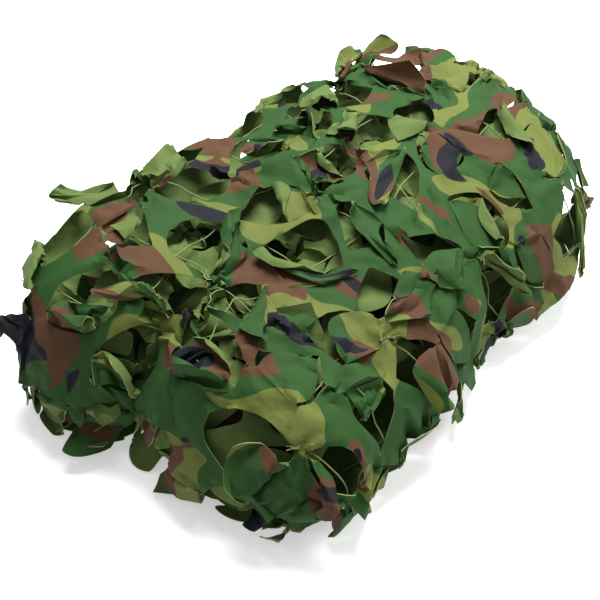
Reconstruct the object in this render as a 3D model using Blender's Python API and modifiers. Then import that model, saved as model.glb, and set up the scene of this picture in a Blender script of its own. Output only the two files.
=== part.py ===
"""A leaf-cut net folded into a soft loaf: one cloth and the support mesh under its top layer.

The cloth is drawn as a flat strip (u along the strip, v across it), cut with leaf slits, folded
back and forth in the Y-Z section and then settled: rounded ends, two lobes and a taper.
"""

import math
import random

import bpy
import numpy as np
from mathutils import Vector
from mathutils.geometry import delaunay_2d_cdt

# Sizes in metres
CLOTH_THICK = 0.0024
CORD_THICK = 0.0024
TOP_HEIGHT = 0.137
END_START_NEG = 0.165     # |v| where the -X end starts to curve down
END_START_POS = 0.250     # v where the +X end starts to curve down
END_RADIUS_NEG = 0.092    # radius of the top layer's droop at -X
END_RADIUS_POS = 0.095    # radius of the top layer's droop at +X
END_TURN = 1.02           # radians that an end curves through before it hangs straight
HANG_OUT = 0.52           # run and drop of each metre of the straight hang
HANG_DOWN = 0.85
HALF_LENGTH = 0.29        # reach of the plan shape used for taper and corner rounding
TAPER = 0.076             # share by which the width shrinks from the middle to +X
CORNER_START = 0.19       # |x| where the plan corners start to round
CORNER_PULL = 0.27        # share of the width lost at the plan ends
FAR_PULL = 0.08           # share lost besides at the corner of -X and +Y
FAR_PULL_Y = 0.12
FAR_PULL_START = 0.05
END_SHAPE_START = 0.07    # |x| where the plan shape of the -X end sets in
TOP_HOLD = 0.35           # share of that shape that the top layer escapes
TOP_HOLD_START = 0.05
NOTCH_START = 0.19        # |x| where the groove between the lobes sets in
NOTCH_Y = -0.008          # the groove between the two lobes of the -X end
NOTCH_WIDTH = 0.026
NOTCH_SINK = 0.32         # share of the height lost in the groove
SIDE_WIDEN = 0.059        # share by which the -Y half widens from the middle to +X
FOOT_OUT = 0.014          # how far the foot of the -Y side stands out past its top
FOOT_RUN = 0.12
HEIGHT_SLOPE = 0.032      # share by which the +Y edge is higher than the middle
LONG_SKEW = 0.105         # share by which the +Y edge is longer than the middle
HALF_WIDTH = 0.18         # reach across that both slopes are given for
SLIT_KERF = 0.0032        # width of the cut around a leaf
TIP_KERF = 0.0051         # width of the cut past its tip
SLIT_PITCH_U = 0.0660     # between slits on the layers that show
SLIT_PITCH_V = 0.0700
HIDDEN_PITCH = 1.22       # times wider apart on the layers inside
HIDDEN_REACH = 0.215      # |v| past which the inner layers lie too close for leaves
FLOOR_CLEAR = 0.010       # least height of the section at a leaf of the side
LEAF_LENGTH = 0.051
LEAF_WIDTH = 0.048
SIZE_SPREAD = (0.90, 1.08)
PLACE_SPREAD = 0.006
TIP_WAYS = (0.5, 0.5, -0.5, 0.0, 1.0)   # half turns that the tips point to, most along +v
TIP_SPREAD = 0.6
FIRST_ROW = 0.045
STRIP_MARGIN = 0.012      # least cloth between a slit and the strip's first or last edge
REST_REACH = 0.19         # |v| within which the floor layer stays whole
REST_START = 0.03
SKIP_EVERY = 5            # of the hidden leaves, one in so many is left uncut
EDGE_MARGIN = 0.009       # least cloth between a slit and the strip's edge
POINT_CLEAR = 0.012       # least distance of a lattice point from a slit
EDGE_POINT = 0.018        # distance of the outermost lattice points from the strip's edge
BEND_STEP = 0.0105
FLAT_STEP = 0.036
CROSS_STEP = 0.034
OUTLINE_STEP = 0.024
TIE_PITCH = 0.150
TIE_SINK = 0.0045
TIE_RADIUS = 0.045
TIE_FREE = 0.02           # length past the floor layer that is free of dimples
CORD_PITCH_U = 0.086
CORD_PITCH_V = 0.072
CORD_COLUMNS = 6
CORD_START = 0.055        # length past the floor layer where the mesh begins
CORD_STEPS = {"u": 4, "v": 3}
CORD_UNEVEN = 0.008
CORD_UNDER = 0.0070       # mid-line of the mesh below the mid-surface of the cloth
SEED = 12

# The folded section, from the free edge on the floor to the inner end of the strip.
# y, z: place in the section; neg, pos: reach of the strip along its width at the -X and +X ends
SECTION = (
    (0.144, 0.000, -0.286, 0.268),
    (0.070, 0.000, -0.302, 0.272),
    (-0.030, 0.000, -0.292, 0.280),
    (-0.118, 0.000, -0.290, 0.286),
    (-0.132, 0.000, -0.292, 0.290),
    (-0.166, 0.007, -0.290, 0.300),
    (-0.190, 0.032, -0.294, 0.318),
    (-0.194, 0.066, -0.300, 0.332),
    (-0.182, 0.099, -0.304, 0.340),
    (-0.148, 0.123, -0.308, 0.346),
    (-0.092, 0.133, -0.312, 0.350),
    (-0.020, 0.137, -0.300, 0.354),
    (0.050, 0.136, -0.318, 0.350),
    (0.110, 0.131, -0.312, 0.330),
    (0.146, 0.125, -0.300, 0.300),
    (0.166, 0.112, -0.292, 0.278),
    (0.150, 0.099, -0.292, 0.262),
    (0.105, 0.097, -0.304, 0.262),
    (0.000, 0.102, -0.286, 0.268),
    (-0.100, 0.099, -0.300, 0.262),
    (-0.138, 0.095, -0.292, 0.258),
    (-0.153, 0.082, -0.286, 0.254),
    (-0.138, 0.069, -0.288, 0.252),
    (-0.100, 0.066, -0.300, 0.254),
    (0.000, 0.069, -0.290, 0.262),
    (0.110, 0.065, -0.312, 0.262),
    (0.148, 0.061, -0.288, 0.256),
    (0.163, 0.048, -0.272, 0.250),
    (0.148, 0.035, -0.266, 0.252),
    (0.100, 0.032, -0.276, 0.260),
    (0.000, 0.035, -0.282, 0.262),
    (-0.095, 0.033, -0.296, 0.258),
    (-0.140, 0.031, -0.286, 0.250),
)
ROW_WRAP = 4              # rows of SECTION where the layers begin
ROW_TOP = 10
ROW_TURN_TOP = 14
ROW_SECOND = 17
ROW_TURN_SECOND = 19
ROW_THIRD = 23
ROW_TURN_THIRD = 25
ROW_FOURTH = 29

# Plan reach of the -X end across Y: y, dx (positive draws the end in)
END_SHAPE = (
    (-0.190, 0.016),
    (-0.145, 0.003),
    (-0.085, 0.004),
    (-0.040, 0.012),
    (-0.008, 0.037),
    (0.030, 0.006),
    (0.075, -0.014),
    (0.120, -0.004),
    (0.180, 0.032),
)

# Uneven height of the stack: share of the height, turns per metre of x and y (radians), phase
SWELLS = (
    (0.035, 11.0, 14.0, 0.7),
    (0.025, 23.0, -9.0, 0.0),
)
# Sideways sway of the layers above SWAY_HEIGHT: size, turns per metre of x and z (radians), phase
SWAYS = (
    (0.006, 13.0, 20.0, 0.0),
    (0.004, 31.0, -26.0, 1.3),
)
SWAY_HEIGHT = 0.05

# Uneven edges of the strip: size, turns per metre of u (radians), phase, at -X and at +X
EDGE_NEG = ((0.010, 47.0, 0.0), (0.007, 83.0, 1.0))
EDGE_POS = ((0.008, 53.0, 2.0), (0.005, 91.0, 0.0))

# Half outline of a leaf from its hinge to its tip: along, out (shares of length and half width)
LEAF_FINE = ((0.00, 0.50), (0.22, 0.92), (0.52, 1.00), (0.80, 0.58), (1.00, 0.00))
LEAF_COARSE = ((0.00, 0.62), (0.52, 1.00), (1.00, 0.00))

for item in list(bpy.data.objects):
    bpy.data.objects.remove(item, do_unlink=True)


def smooth_ramp(value, start, end):
    """0 before start, 1 after end, with a soft step between."""
    t = np.clip((value - start) / (end - start), 0.0, 1.0)
    return t * t * (3.0 - 2.0 * t)


def spline_rows(rows, per_span):
    """Points of a Catmull-Rom curve through the rows, and each row's index among them."""
    pts = np.array(rows, float)
    ext = np.vstack([2 * pts[0] - pts[1], pts, 2 * pts[-1] - pts[-2]])
    out = []
    t = (np.arange(per_span) / per_span)[:, None]
    for k in range(1, len(ext) - 2):
        a, b, c, d = ext[k - 1], ext[k], ext[k + 1], ext[k + 2]
        out.append(0.5 * (2 * b + (c - a) * t + (2 * a - 5 * b + 4 * c - d) * t ** 2
                          + (3 * b - a - 3 * c + d) * t ** 3))
    out.append(pts[-1:])
    return np.vstack(out)


SPAN_STEPS = 40
CURVE = spline_rows(SECTION, SPAN_STEPS)
CURVE[:, 1] = np.maximum(CURVE[:, 1], 0.0)
CURVE_U = np.concatenate([[0.0], np.cumsum(np.hypot(np.diff(CURVE[:, 0]), np.diff(CURVE[:, 1])))])
STRIP_LENGTH = float(CURVE_U[-1])


def row_u(row):
    """Arc length along the strip at a row of the section table."""
    return float(CURVE_U[row * SPAN_STEPS])


def section_at(u):
    """Place, tangent and outer normal of the folded section."""
    half = 0.003
    mid = np.clip(np.asarray(u, float), half, STRIP_LENGTH - half)
    y = np.interp(mid, CURVE_U, CURVE[:, 0])
    z = np.interp(mid, CURVE_U, CURVE[:, 1])
    dy = np.interp(mid + half, CURVE_U, CURVE[:, 0]) - np.interp(mid - half, CURVE_U, CURVE[:, 0])
    dz = np.interp(mid + half, CURVE_U, CURVE[:, 1]) - np.interp(mid - half, CURVE_U, CURVE[:, 1])
    size = np.hypot(dy, dz)
    over = u - mid
    return y + over * dy / size, z + over * dz / size, dy / size, dz / size


def tie_sink(u, v):
    """Dimples where the cloth is tied to its mesh, none on the layer that lies on the floor."""
    u = np.asarray(u, float)
    v = np.asarray(v, float)
    du = (u / TIE_PITCH + 0.5) % 1.0 - 0.5
    odd = np.floor(u / TIE_PITCH + 0.5) % 2
    dv = (v / TIE_PITCH + 0.5 * odd + 0.5) % 1.0 - 0.5
    far = np.hypot(du, dv) * TIE_PITCH / TIE_RADIUS
    floor_end = row_u(ROW_WRAP)
    return -TIE_SINK * np.exp(-far ** 2) * smooth_ramp(u, floor_end + TIE_FREE, floor_end + 4 * TIE_FREE)


def end_bend(past, radius):
    """Run and drop of an end that curves down by a radius and then hangs, at a length past its start."""
    turn = np.minimum(past / radius, END_TURN)
    hang = np.clip(past - END_TURN * radius, 0.0, None)
    return radius * np.sin(turn) + HANG_OUT * hang, radius * (1 - np.cos(turn)) + HANG_DOWN * hang


def settle(x, y, z):
    """Carries a point of the folded, still square stack to its place in the soft bundle."""
    run_neg, drop_neg = end_bend(np.clip(-x - END_START_NEG, 0.0, None), END_RADIUS_NEG)
    run_pos, drop_pos = end_bend(np.clip(x - END_START_POS, 0.0, None), END_RADIUS_POS)
    run = np.clip(x, -END_START_NEG, END_START_POS) - run_neg + run_pos
    height = 1.0 - (drop_neg + drop_pos) / TOP_HEIGHT
    end_y = [row[0] for row in END_SHAPE]
    end_dx = [row[1] for row in END_SHAPE]
    pull = np.interp(y, end_y, end_dx) * smooth_ramp(-run, END_SHAPE_START, HALF_LENGTH)
    pull = pull * (1.0 - TOP_HOLD * smooth_ramp(z, TOP_HOLD_START, TOP_HEIGHT))
    groove = np.exp(-((y - NOTCH_Y) / NOTCH_WIDTH) ** 2) * smooth_ramp(-run, NOTCH_START, HALF_LENGTH)
    height = height * (1.0 - NOTCH_SINK * groove)
    swell = 1.0
    for share, per_x, per_y, phase in SWELLS:
        swell = swell + share * np.sin(per_x * run + per_y * y + phase)
    height = height * swell
    corner = 1.0 - CORNER_PULL * smooth_ramp(np.abs(run), CORNER_START, HALF_LENGTH) ** 2
    far = smooth_ramp(y, 0.0, FAR_PULL_Y) * smooth_ramp(-run, FAR_PULL_START, HALF_LENGTH)
    wide = corner * (1.0 - FAR_PULL * far) * (1.0 - TAPER * run / HALF_LENGTH)
    z = np.maximum(z, 0.0)
    sway = 0.0
    for size, per_x, per_z, phase in SWAYS:
        sway = sway + size * np.sin(per_x * run + per_z * z + phase)
    x = run + pull
    y = y * wide + sway * smooth_ramp(z, 0.0, SWAY_HEIGHT)
    z = z * height
    y = y + SIDE_WIDEN * np.minimum(y, 0.0) * x / HALF_LENGTH
    y = y - FOOT_OUT * smooth_ramp(-y, 0.0, FOOT_RUN) * np.clip(1.0 - z / TOP_HEIGHT, 0.0, 1.0)
    z = z * (1.0 + HEIGHT_SLOPE * y / HALF_WIDTH)
    return x * (1.0 + LONG_SKEW * y / HALF_WIDTH), y, z


def cloth_point(u, v, lift=0.0):
    """Point of the settled cloth at the flat place (u, v), lifted along the outer normal."""
    y, z, ty, tz = section_at(u)
    rise = lift + tie_sink(u, v)
    return settle(np.asarray(v, float), y - tz * rise, z + ty * rise)


def reach(u):
    """Strip edges at u: the -X reach and the +X reach, with uneven tongues."""
    neg = np.interp(u, CURVE_U, CURVE[:, 2])
    pos = np.interp(u, CURVE_U, CURVE[:, 3])
    for size, per_u, phase in EDGE_NEG:
        neg = neg + size * np.sin(per_u * u + phase)
    for size, per_u, phase in EDGE_POS:
        pos = pos + size * np.sin(per_u * u + phase)
    return neg, pos


def layer_of(u):
    """Name of the run of the section that u falls in."""
    names = ((ROW_WRAP, "floor"), (ROW_TOP, "wrap"), (ROW_TURN_TOP, "top"), (ROW_SECOND, "turn_top"),
             (ROW_TURN_SECOND, "second"), (ROW_THIRD, "turn_second"), (ROW_TURN_THIRD, "third"),
             (ROW_FOURTH, "turn_third"))
    for row, name in names:
        if u < row_u(row):
            return name
    return "fourth"


# How the leaves of each layer stand: outline, side of the cloth, share that stand up, and the
# least and most angle in degrees at the hinge and curl over the leaf
LEAF_STAND = {
    "floor": (False, -1, 0.0, 5, 9, 0, 6),
    "wrap": (True, 1, 0.0, 7, 17, -4, 14),
    "top": (True, 1, 0.35, 8, 20, -6, 26),
    "turn_top": (True, 1, 1.0, 5, 14, -55, -15),
    "second": (False, -1, 0.0, 5, 9, 0, 6),
    "turn_second": None,
    "third": (False, 1, 0.0, 5, 9, 0, 6),
    "turn_third": (False, 1, 1.0, 5, 12, -55, -25),
    "fourth": (False, -1, 0.0, 5, 9, 0, 6),
}
SHOWN_LAYERS = ("wrap", "top", "turn_top")
STAND_HINGE = (15, 32)    # degrees at the hinge of a leaf that stands up
STAND_CURL = (-20, 70)    # degrees of curl over such a leaf
END_HINGE = 0.27          # least radians at the hinge where the ends curve down
TURN_ALONG = 0.8          # least share along the strip of a leaf in a turn, where it stands off straight
HIDDEN_CUP = 0.3
HINGE_CUP = 0.02          # share of the sideways curl left at the hinge
CUP = (0.5, 1.3)          # radians of sideways curl at a leaf's tip


class Leaf:
    """One leaf slit of the flat pattern: the leaf, its hinge and the cut around it."""

    def __init__(self, u, v, angle, scale, fine, side, stands, hinge, curl, cup):
        self.along = np.array([math.cos(angle), math.sin(angle)])
        self.across = np.array([-math.sin(angle), math.cos(angle)])
        self.length = LEAF_LENGTH * scale
        self.half = LEAF_WIDTH * scale / 2
        self.base = np.array([u, v]) - self.along * self.length * 0.5
        self.side = side
        self.stands = stands
        self.hinge = hinge
        self.curl = curl
        self.cup = cup
        table = LEAF_FINE if fine else LEAF_COARSE
        inner = [(p * self.length, q * self.half) for p, q in table]
        outer = [(p + SLIT_KERF * (p / self.length), q + SLIT_KERF) for p, q in inner[:-1]]
        outer.append((self.length + TIP_KERF, 0.0))
        self.leaf = self.mirrored(inner)
        self.rim = self.mirrored(outer)
        self.mid = [self.place(0.5 * self.length, 0.0)] if fine else []

    def place(self, p, q):
        return self.base + self.along * p + self.across * q

    def mirrored(self, half_rows):
        rows = [(p, -q) for p, q in half_rows] + [(p, q) for p, q in half_rows[-2::-1]]
        return np.array([self.place(p, q) for p, q in rows])

    def lifted(self, points):
        """Flat points of the leaf turned about the hinge and curled.

        A leaf that stands leaves the cloth straight from its hinge; any other follows the bend below.
        """
        local = points - self.base
        p = local @ self.along
        q = local @ self.across
        bend = self.curl / self.length
        if abs(bend) < 1e-4:
            ahead, up = p * math.cos(self.hinge), p * math.sin(self.hinge)
        else:
            ahead = (np.sin(self.hinge + bend * p) - math.sin(self.hinge)) / bend
            up = (math.cos(self.hinge) - np.cos(self.hinge + bend * p)) / bend
        cup = self.cup * np.clip(p / self.length, HINGE_CUP, 1.0)
        up = up + self.half / cup * (1.0 - np.cos(cup * q / self.half))
        q = self.half / cup * np.sin(cup * q / self.half)
        foot = self.base + q[:, None] * self.across
        y, z, ty, tz = section_at(foot[:, 0])
        if not self.stands:
            flat = self.base + ahead[:, None] * self.along + q[:, None] * self.across
            return cloth_point(flat[:, 0], flat[:, 1], self.side * up)
        rise = tie_sink(foot[:, 0], foot[:, 1]) + self.side * up
        on = self.along[0] * ahead
        return settle(foot[:, 1] + self.along[1] * ahead, y + ty * on - tz * rise, z + tz * on + ty * rise)


def inside(points, polygon):
    """Which points lie inside a closed polygon."""
    x, y = points[:, 0], points[:, 1]
    hit = np.zeros(len(points), bool)
    ends = np.roll(polygon, -1, axis=0)
    for (x0, y0), (x1, y1) in zip(polygon, ends):
        if y0 == y1:
            continue
        cross = (y0 > y) != (y1 > y)
        hit ^= cross & (x < (x1 - x0) * (y - y0) / (y1 - y0) + x0)
    return hit


def make_leaves():
    """The leaf slits of the whole strip, in staggered rows with uneven turns."""
    rng = random.Random(SEED)
    leaves = []
    row = 0
    row_place = FIRST_ROW
    while row_place < STRIP_LENGTH - FIRST_ROW:
        row += 1
        wide = 1.0 if layer_of(row_place) in SHOWN_LAYERS else HIDDEN_PITCH
        for col in range(-5, 6):
            u = row_place + rng.uniform(-PLACE_SPREAD, PLACE_SPREAD)
            v = (col + 0.5 * (row % 2)) * SLIT_PITCH_V * wide + rng.uniform(-PLACE_SPREAD, PLACE_SPREAD)
            turn = rng.choice(TIP_WAYS) * math.pi + rng.uniform(-TIP_SPREAD, TIP_SPREAD)
            scale = rng.uniform(*SIZE_SPREAD)
            spread = (rng.random(), rng.random(), rng.random(), rng.random())
            stand = LEAF_STAND[layer_of(u)]
            if stand is None:
                continue
            fine, side, share, low, high, curl_low, curl_high = stand
            stands = spread[2] < share
            if stands and share == 1.0 and abs(math.cos(turn)) < TURN_ALONG:
                continue
            if stands and share < 1.0:
                low, high = STAND_HINGE
                curl_low, curl_high = STAND_CURL
            if not fine and (row + col) % SKIP_EVERY == 0:
                continue
            if layer_of(u) == "floor" and abs(v) < REST_REACH and u > REST_START:
                continue
            hinge = math.radians(low + (high - low) * spread[0])
            curl = math.radians(curl_low + (curl_high - curl_low) * spread[1])
            if fine and abs(v) > END_START_NEG and share < 1.0:
                hinge = max(hinge, END_HINGE)
                curl = max(curl, 0.0)
            cup = CUP[0] + (CUP[1] - CUP[0]) * spread[3] if fine else HIDDEN_CUP
            leaf = Leaf(u, v, turn, scale, fine, side, stands, hinge, curl, cup)
            if (not fine or layer_of(u) == "turn_top") and abs(v) > HIDDEN_REACH:
                continue
            if layer_of(u) == "wrap" and section_at(leaf.rim[:, 0])[1].min() < FLOOR_CLEAR:
                continue
            low_v, high_v = reach(leaf.rim[:, 0])
            if (leaf.rim[:, 1] < low_v + EDGE_MARGIN).any() or (leaf.rim[:, 1] > high_v - EDGE_MARGIN).any():
                continue
            if leaf.rim[:, 0].min() < STRIP_MARGIN or leaf.rim[:, 0].max() > STRIP_LENGTH - STRIP_MARGIN:
                continue
            leaves.append(leaf)
        row_place += SLIT_PITCH_U * wide
    return leaves


def outline():
    """Closed outline of the flat strip."""
    count = int(STRIP_LENGTH / OUTLINE_STEP)
    u = np.linspace(0.0, STRIP_LENGTH, count)
    neg, pos = reach(u)
    sides = 14
    first = np.linspace(neg[0], pos[0], sides)[1:-1]
    last = np.linspace(pos[-1], neg[-1], sides)[1:-1]
    start = np.stack([0.004 * np.sin(40.0 * first), first], -1)
    finish = np.stack([STRIP_LENGTH - 0.006 - 0.006 * np.sin(33.0 * last), last], -1)
    return np.vstack([start, np.stack([u, pos], -1), finish, np.stack([u, neg], -1)[::-1]])


def lattice_rows():
    """Places along the strip of the lattice rows, close in the bends."""
    rows = [FLAT_STEP * 0.6]
    while rows[-1] < STRIP_LENGTH - FLAT_STEP:
        name = layer_of(rows[-1])
        tight = name.startswith("turn")
        step = BEND_STEP if tight else BEND_STEP * 1.5 if name == "wrap" else FLAT_STEP
        ahead = layer_of(rows[-1] + step)
        if not tight and ahead.startswith("turn"):
            step = step * 0.55
        rows.append(rows[-1] + step)
    return rows


def lattice(leaves):
    """Inner points of the strip, clear of every slit."""
    points = []
    for count, u in enumerate(lattice_rows()):
        neg, pos = reach(u)
        columns = np.arange(-12, 13) * CROSS_STEP + 0.5 * CROSS_STEP * (count % 2)
        for v in columns:
            if neg + EDGE_POINT < v < pos - EDGE_POINT:
                points.append((u, v))
        for extra in (neg + EDGE_POINT, pos - EDGE_POINT):
            points.append((u, extra))
    points = np.array(points)
    keep = np.ones(len(points), bool)
    for leaf in leaves:
        near = np.linalg.norm(points - (leaf.base + leaf.along * leaf.length / 2), axis=1) < 0.06
        if not near.any():
            continue
        keep &= ~inside(points, leaf.rim)
        for corner in leaf.rim:
            keep &= np.linalg.norm(points - corner, axis=1) > POINT_CLEAR
    return points[keep]


def flat_pattern(leaves):
    """Triangulates the strip: points, triangles and the leaf that each triangle belongs to."""
    verts = []
    edges = []

    def ring(points, closed):
        first = len(verts)
        verts.extend(map(tuple, points))
        count = len(points)
        edges.extend((first + k, first + (k + 1) % count) for k in range(count if closed else count - 1))

    border = outline()
    ring(border, True)
    for leaf in leaves:
        ring(np.vstack([leaf.rim, leaf.leaf[::-1]]), True)
        ring(leaf.leaf[[0, -1]], False)
        verts.extend(map(tuple, leaf.mid))
    verts.extend(map(tuple, lattice(leaves)))
    out = delaunay_2d_cdt([Vector(v) for v in verts], edges, [], 0, 1e-6)
    points = np.array([tuple(v) for v in out[0]])
    faces = np.array([f for f in out[2] if len(f) == 3])
    middle = points[faces].mean(axis=1)
    keep = inside(middle, border)
    owner = np.full(len(faces), -1)
    for index, leaf in enumerate(leaves):
        near = np.linalg.norm(middle - (leaf.base + leaf.along * leaf.length / 2), axis=1) < 0.06
        rows = np.where(near)[0]
        if not len(rows):
            continue
        in_leaf = inside(middle[rows], leaf.leaf)
        in_gap = inside(middle[rows], np.vstack([leaf.rim, leaf.leaf[::-1]]))
        owner[rows[in_leaf]] = index
        keep[rows[in_gap & ~in_leaf]] = False
    return points, faces[keep], owner[keep]


def mesh_object(name, verts, faces, thickness, colour, roughness):
    """A closed, solidified sheet with its own material."""
    mesh = bpy.data.meshes.new(name)
    mesh.from_pydata([tuple(v) for v in verts], [], [tuple(int(i) for i in f) for f in faces])
    mesh.update()
    body = bpy.data.objects.new(name, mesh)
    bpy.context.collection.objects.link(body)
    shell = body.modifiers.new("thickness", "SOLIDIFY")
    shell.thickness = thickness
    shell.offset = 0.0
    shell.use_rim = True
    material = bpy.data.materials.new(name)
    material.use_nodes = True
    shader = material.node_tree.nodes["Principled BSDF"]
    shader.inputs["Base Color"].default_value = colour
    shader.inputs["Roughness"].default_value = roughness
    mesh.materials.append(material)
    return body


def cloth():
    """The folded, leaf-cut cloth."""
    leaves = make_leaves()
    points, faces, owner = flat_pattern(leaves)
    used = np.unique(faces)
    remap = np.full(len(points), -1)
    remap[used] = np.arange(len(used))
    points = points[used]
    faces = remap[faces]
    places = np.stack(cloth_point(points[:, 0], points[:, 1]), -1)
    for index, leaf in enumerate(leaves):
        rows = np.unique(faces[owner == index])
        if len(rows):
            places[rows] = np.stack(leaf.lifted(points[rows]), -1)
    print("leaf slits", len(leaves), "strip", round(STRIP_LENGTH, 3))
    return mesh_object("net_cloth", places, faces, CLOTH_THICK, (0.075, 0.17, 0.06, 1.0), 0.8)


def cord_mesh():
    """The knotted support mesh under the wrap and the top layer, one solid of crossing strands."""
    half = CORD_THICK / 2
    start = row_u(ROW_WRAP) + CORD_START
    count_u = int((row_u(ROW_TURN_TOP) - start) / CORD_PITCH_U) + 1
    count_v = CORD_COLUMNS
    verts = []
    faces = []

    def at(u, v):
        y, z, ty, tz = section_at(u)
        verts.append(np.array(settle(np.float64(v), y + tz * CORD_UNDER, z - ty * CORD_UNDER)))
        return len(verts) - 1

    def node(i, j):
        u = start + i * CORD_PITCH_U + CORD_UNEVEN * math.sin(2.1 * i + 1.7 * j)
        v = (j - (count_v - 1) / 2) * CORD_PITCH_V + CORD_UNEVEN * math.sin(1.3 * i + 2.9 * j)
        return u, v

    knots = {}
    for i in range(count_u):
        for j in range(count_v):
            u, v = node(i, j)
            knots[i, j] = [at(u + a * half, v + b * half) for a, b in ((-1, -1), (1, -1), (1, 1), (-1, 1))]
            faces.append(knots[i, j])

    def band(before, after, along):
        face = [before[0], after[0], after[1], before[1]]
        faces.append(face if along == "u" else face[::-1])

    def strand(first, second, side_a, side_b, along):
        (u0, v0), (u1, v1) = node(*first), node(*second)
        steps = CORD_STEPS[along]
        before = [knots[first][k] for k in side_a]
        for k in range(1, steps):
            t = k / steps
            u, v = u0 + (u1 - u0) * t, v0 + (v1 - v0) * t
            if along == "u":
                after = [at(u, v - half), at(u, v + half)]
            else:
                after = [at(u - half, v), at(u + half, v)]
            band(before, after, along)
            before = after
        band(before, [knots[second][k] for k in side_b], along)

    for i in range(count_u):
        for j in range(count_v):
            if i + 1 < count_u:
                strand((i, j), (i + 1, j), (1, 2), (0, 3), "u")
            if j + 1 < count_v:
                strand((i, j), (i, j + 1), (3, 2), (0, 1), "v")
    return mesh_object("mesh_cords", verts, faces, CORD_THICK, (0.05, 0.11, 0.04, 1.0), 0.7)


bodies = [cloth(), cord_mesh()]
for body in bodies:
    bpy.context.view_layer.objects.active = body
    for other in bpy.context.view_layer.objects:
        other.select_set(other == body)
    bpy.ops.object.modifier_apply(modifier="thickness")
    bpy.ops.object.mode_set(mode="EDIT")
    bpy.ops.mesh.select_all(action="SELECT")
    bpy.ops.mesh.normals_make_consistent(inside=False)
    bpy.ops.mesh.quads_convert_to_tris()
    bpy.ops.object.mode_set(mode="OBJECT")

corners = np.array([tuple(v.co) for body in bodies for v in body.data.vertices])
low = corners.min(axis=0)
high = corners.max(axis=0)
shift = Vector((-(low[0] + high[0]) / 2, -(low[1] + high[1]) / 2, -low[2]))
for body in bodies:
    for v in body.data.vertices:
        v.co += shift
    print(body.name, "triangles", len(body.data.polygons))
print("size", high - low)
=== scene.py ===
import math
import random

import bpy
import numpy as np
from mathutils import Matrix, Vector, kdtree
from mathutils.geometry import delaunay_2d_cdt


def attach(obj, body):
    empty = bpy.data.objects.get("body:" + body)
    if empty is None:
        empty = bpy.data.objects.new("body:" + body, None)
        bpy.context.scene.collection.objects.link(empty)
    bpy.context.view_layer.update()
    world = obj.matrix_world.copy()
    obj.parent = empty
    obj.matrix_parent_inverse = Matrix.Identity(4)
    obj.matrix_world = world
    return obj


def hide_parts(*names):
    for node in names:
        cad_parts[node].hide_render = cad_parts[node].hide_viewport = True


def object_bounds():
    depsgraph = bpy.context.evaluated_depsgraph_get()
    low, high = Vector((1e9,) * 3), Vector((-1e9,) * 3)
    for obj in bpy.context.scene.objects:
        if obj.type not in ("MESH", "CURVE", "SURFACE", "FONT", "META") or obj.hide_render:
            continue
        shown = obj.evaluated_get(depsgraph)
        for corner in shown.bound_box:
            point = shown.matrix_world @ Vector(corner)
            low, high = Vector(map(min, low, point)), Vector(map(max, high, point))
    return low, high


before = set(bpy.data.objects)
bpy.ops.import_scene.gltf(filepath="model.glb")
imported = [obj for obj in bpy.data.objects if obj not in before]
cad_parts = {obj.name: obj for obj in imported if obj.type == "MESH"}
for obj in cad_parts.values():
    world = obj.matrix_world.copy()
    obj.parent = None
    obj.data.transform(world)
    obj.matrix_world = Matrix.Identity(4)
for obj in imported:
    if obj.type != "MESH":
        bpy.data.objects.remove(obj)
bpy.context.view_layer.update()
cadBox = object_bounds()
print("frame loaded:", sorted(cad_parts))

# the photograph's view of the bundle
view = {
    "azimuth": -48.94,
    "elevation": 46.94,
    "distance": 0.842,
    "lens": 52.72,
    "sensor": 36.0,
    "nearest": 0.01,
    "target": (-0.0827, -0.0161, 0.0630),
}

studio = {
    "floorSize": 8.0,
    "floorColour": (0.95, 0.95, 0.95, 1.0),
    "floorGlow": 0.42,
    "floorRough": (0.9, 0.1),        # roughness and specular level
    "white": (1.0, 1.0, 1.0, 1.0),
    "sky": 0.38,
    # name, place, aim, size, power and colour
    "lights": (
        ("overhead_softbox", (0.55, 0.35, 1.45), (0.05, 0.0, 0.05), 1.0, 60.0, (1.0, 0.99, 0.97)),
        ("right_fill", (1.1, -0.9, 0.8), (0.0, 0.0, 0.05), 0.9, 11.0, (0.98, 0.99, 1.0)),
    ),
}


def addObject(name, data):
    made = bpy.data.objects.new(name, data)
    bpy.context.collection.objects.link(made)
    return made


def addMesh(name, places, faces):
    mesh = bpy.data.meshes.new(name)
    mesh.from_pydata([tuple(p) for p in places], [], faces)
    mesh.update()
    return addObject(name, mesh)


def makeActive(piece):
    bpy.ops.object.select_all(action="DESELECT")
    piece.select_set(True)
    bpy.context.view_layer.objects.active = piece


def addCamera():
    turn = math.radians(view["azimuth"])
    tilt = math.radians(view["elevation"])
    back = Vector((math.sin(turn) * math.cos(tilt), -math.cos(turn) * math.cos(tilt), math.sin(tilt)))
    data = bpy.data.cameras.new("photo_camera")
    data.lens = view["lens"]
    data.sensor_width = view["sensor"]
    data.clip_start = view["nearest"]
    camera = addObject("photo_camera", data)
    camera.location = Vector(view["target"]) + back * view["distance"]
    camera.rotation_euler = (-back).to_track_quat("-Z", "Y").to_euler()
    bpy.context.scene.camera = camera


def addSoftLight(name, place, aim, size, power, colour):
    data = bpy.data.lights.new(name, "AREA")
    data.shape = "DISK"
    data.size = size
    data.energy = power
    data.color = colour
    lamp = addObject(name, data)
    lamp.location = place
    lamp.rotation_euler = (Vector(aim) - Vector(place)).to_track_quat("-Z", "Y").to_euler()


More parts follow.
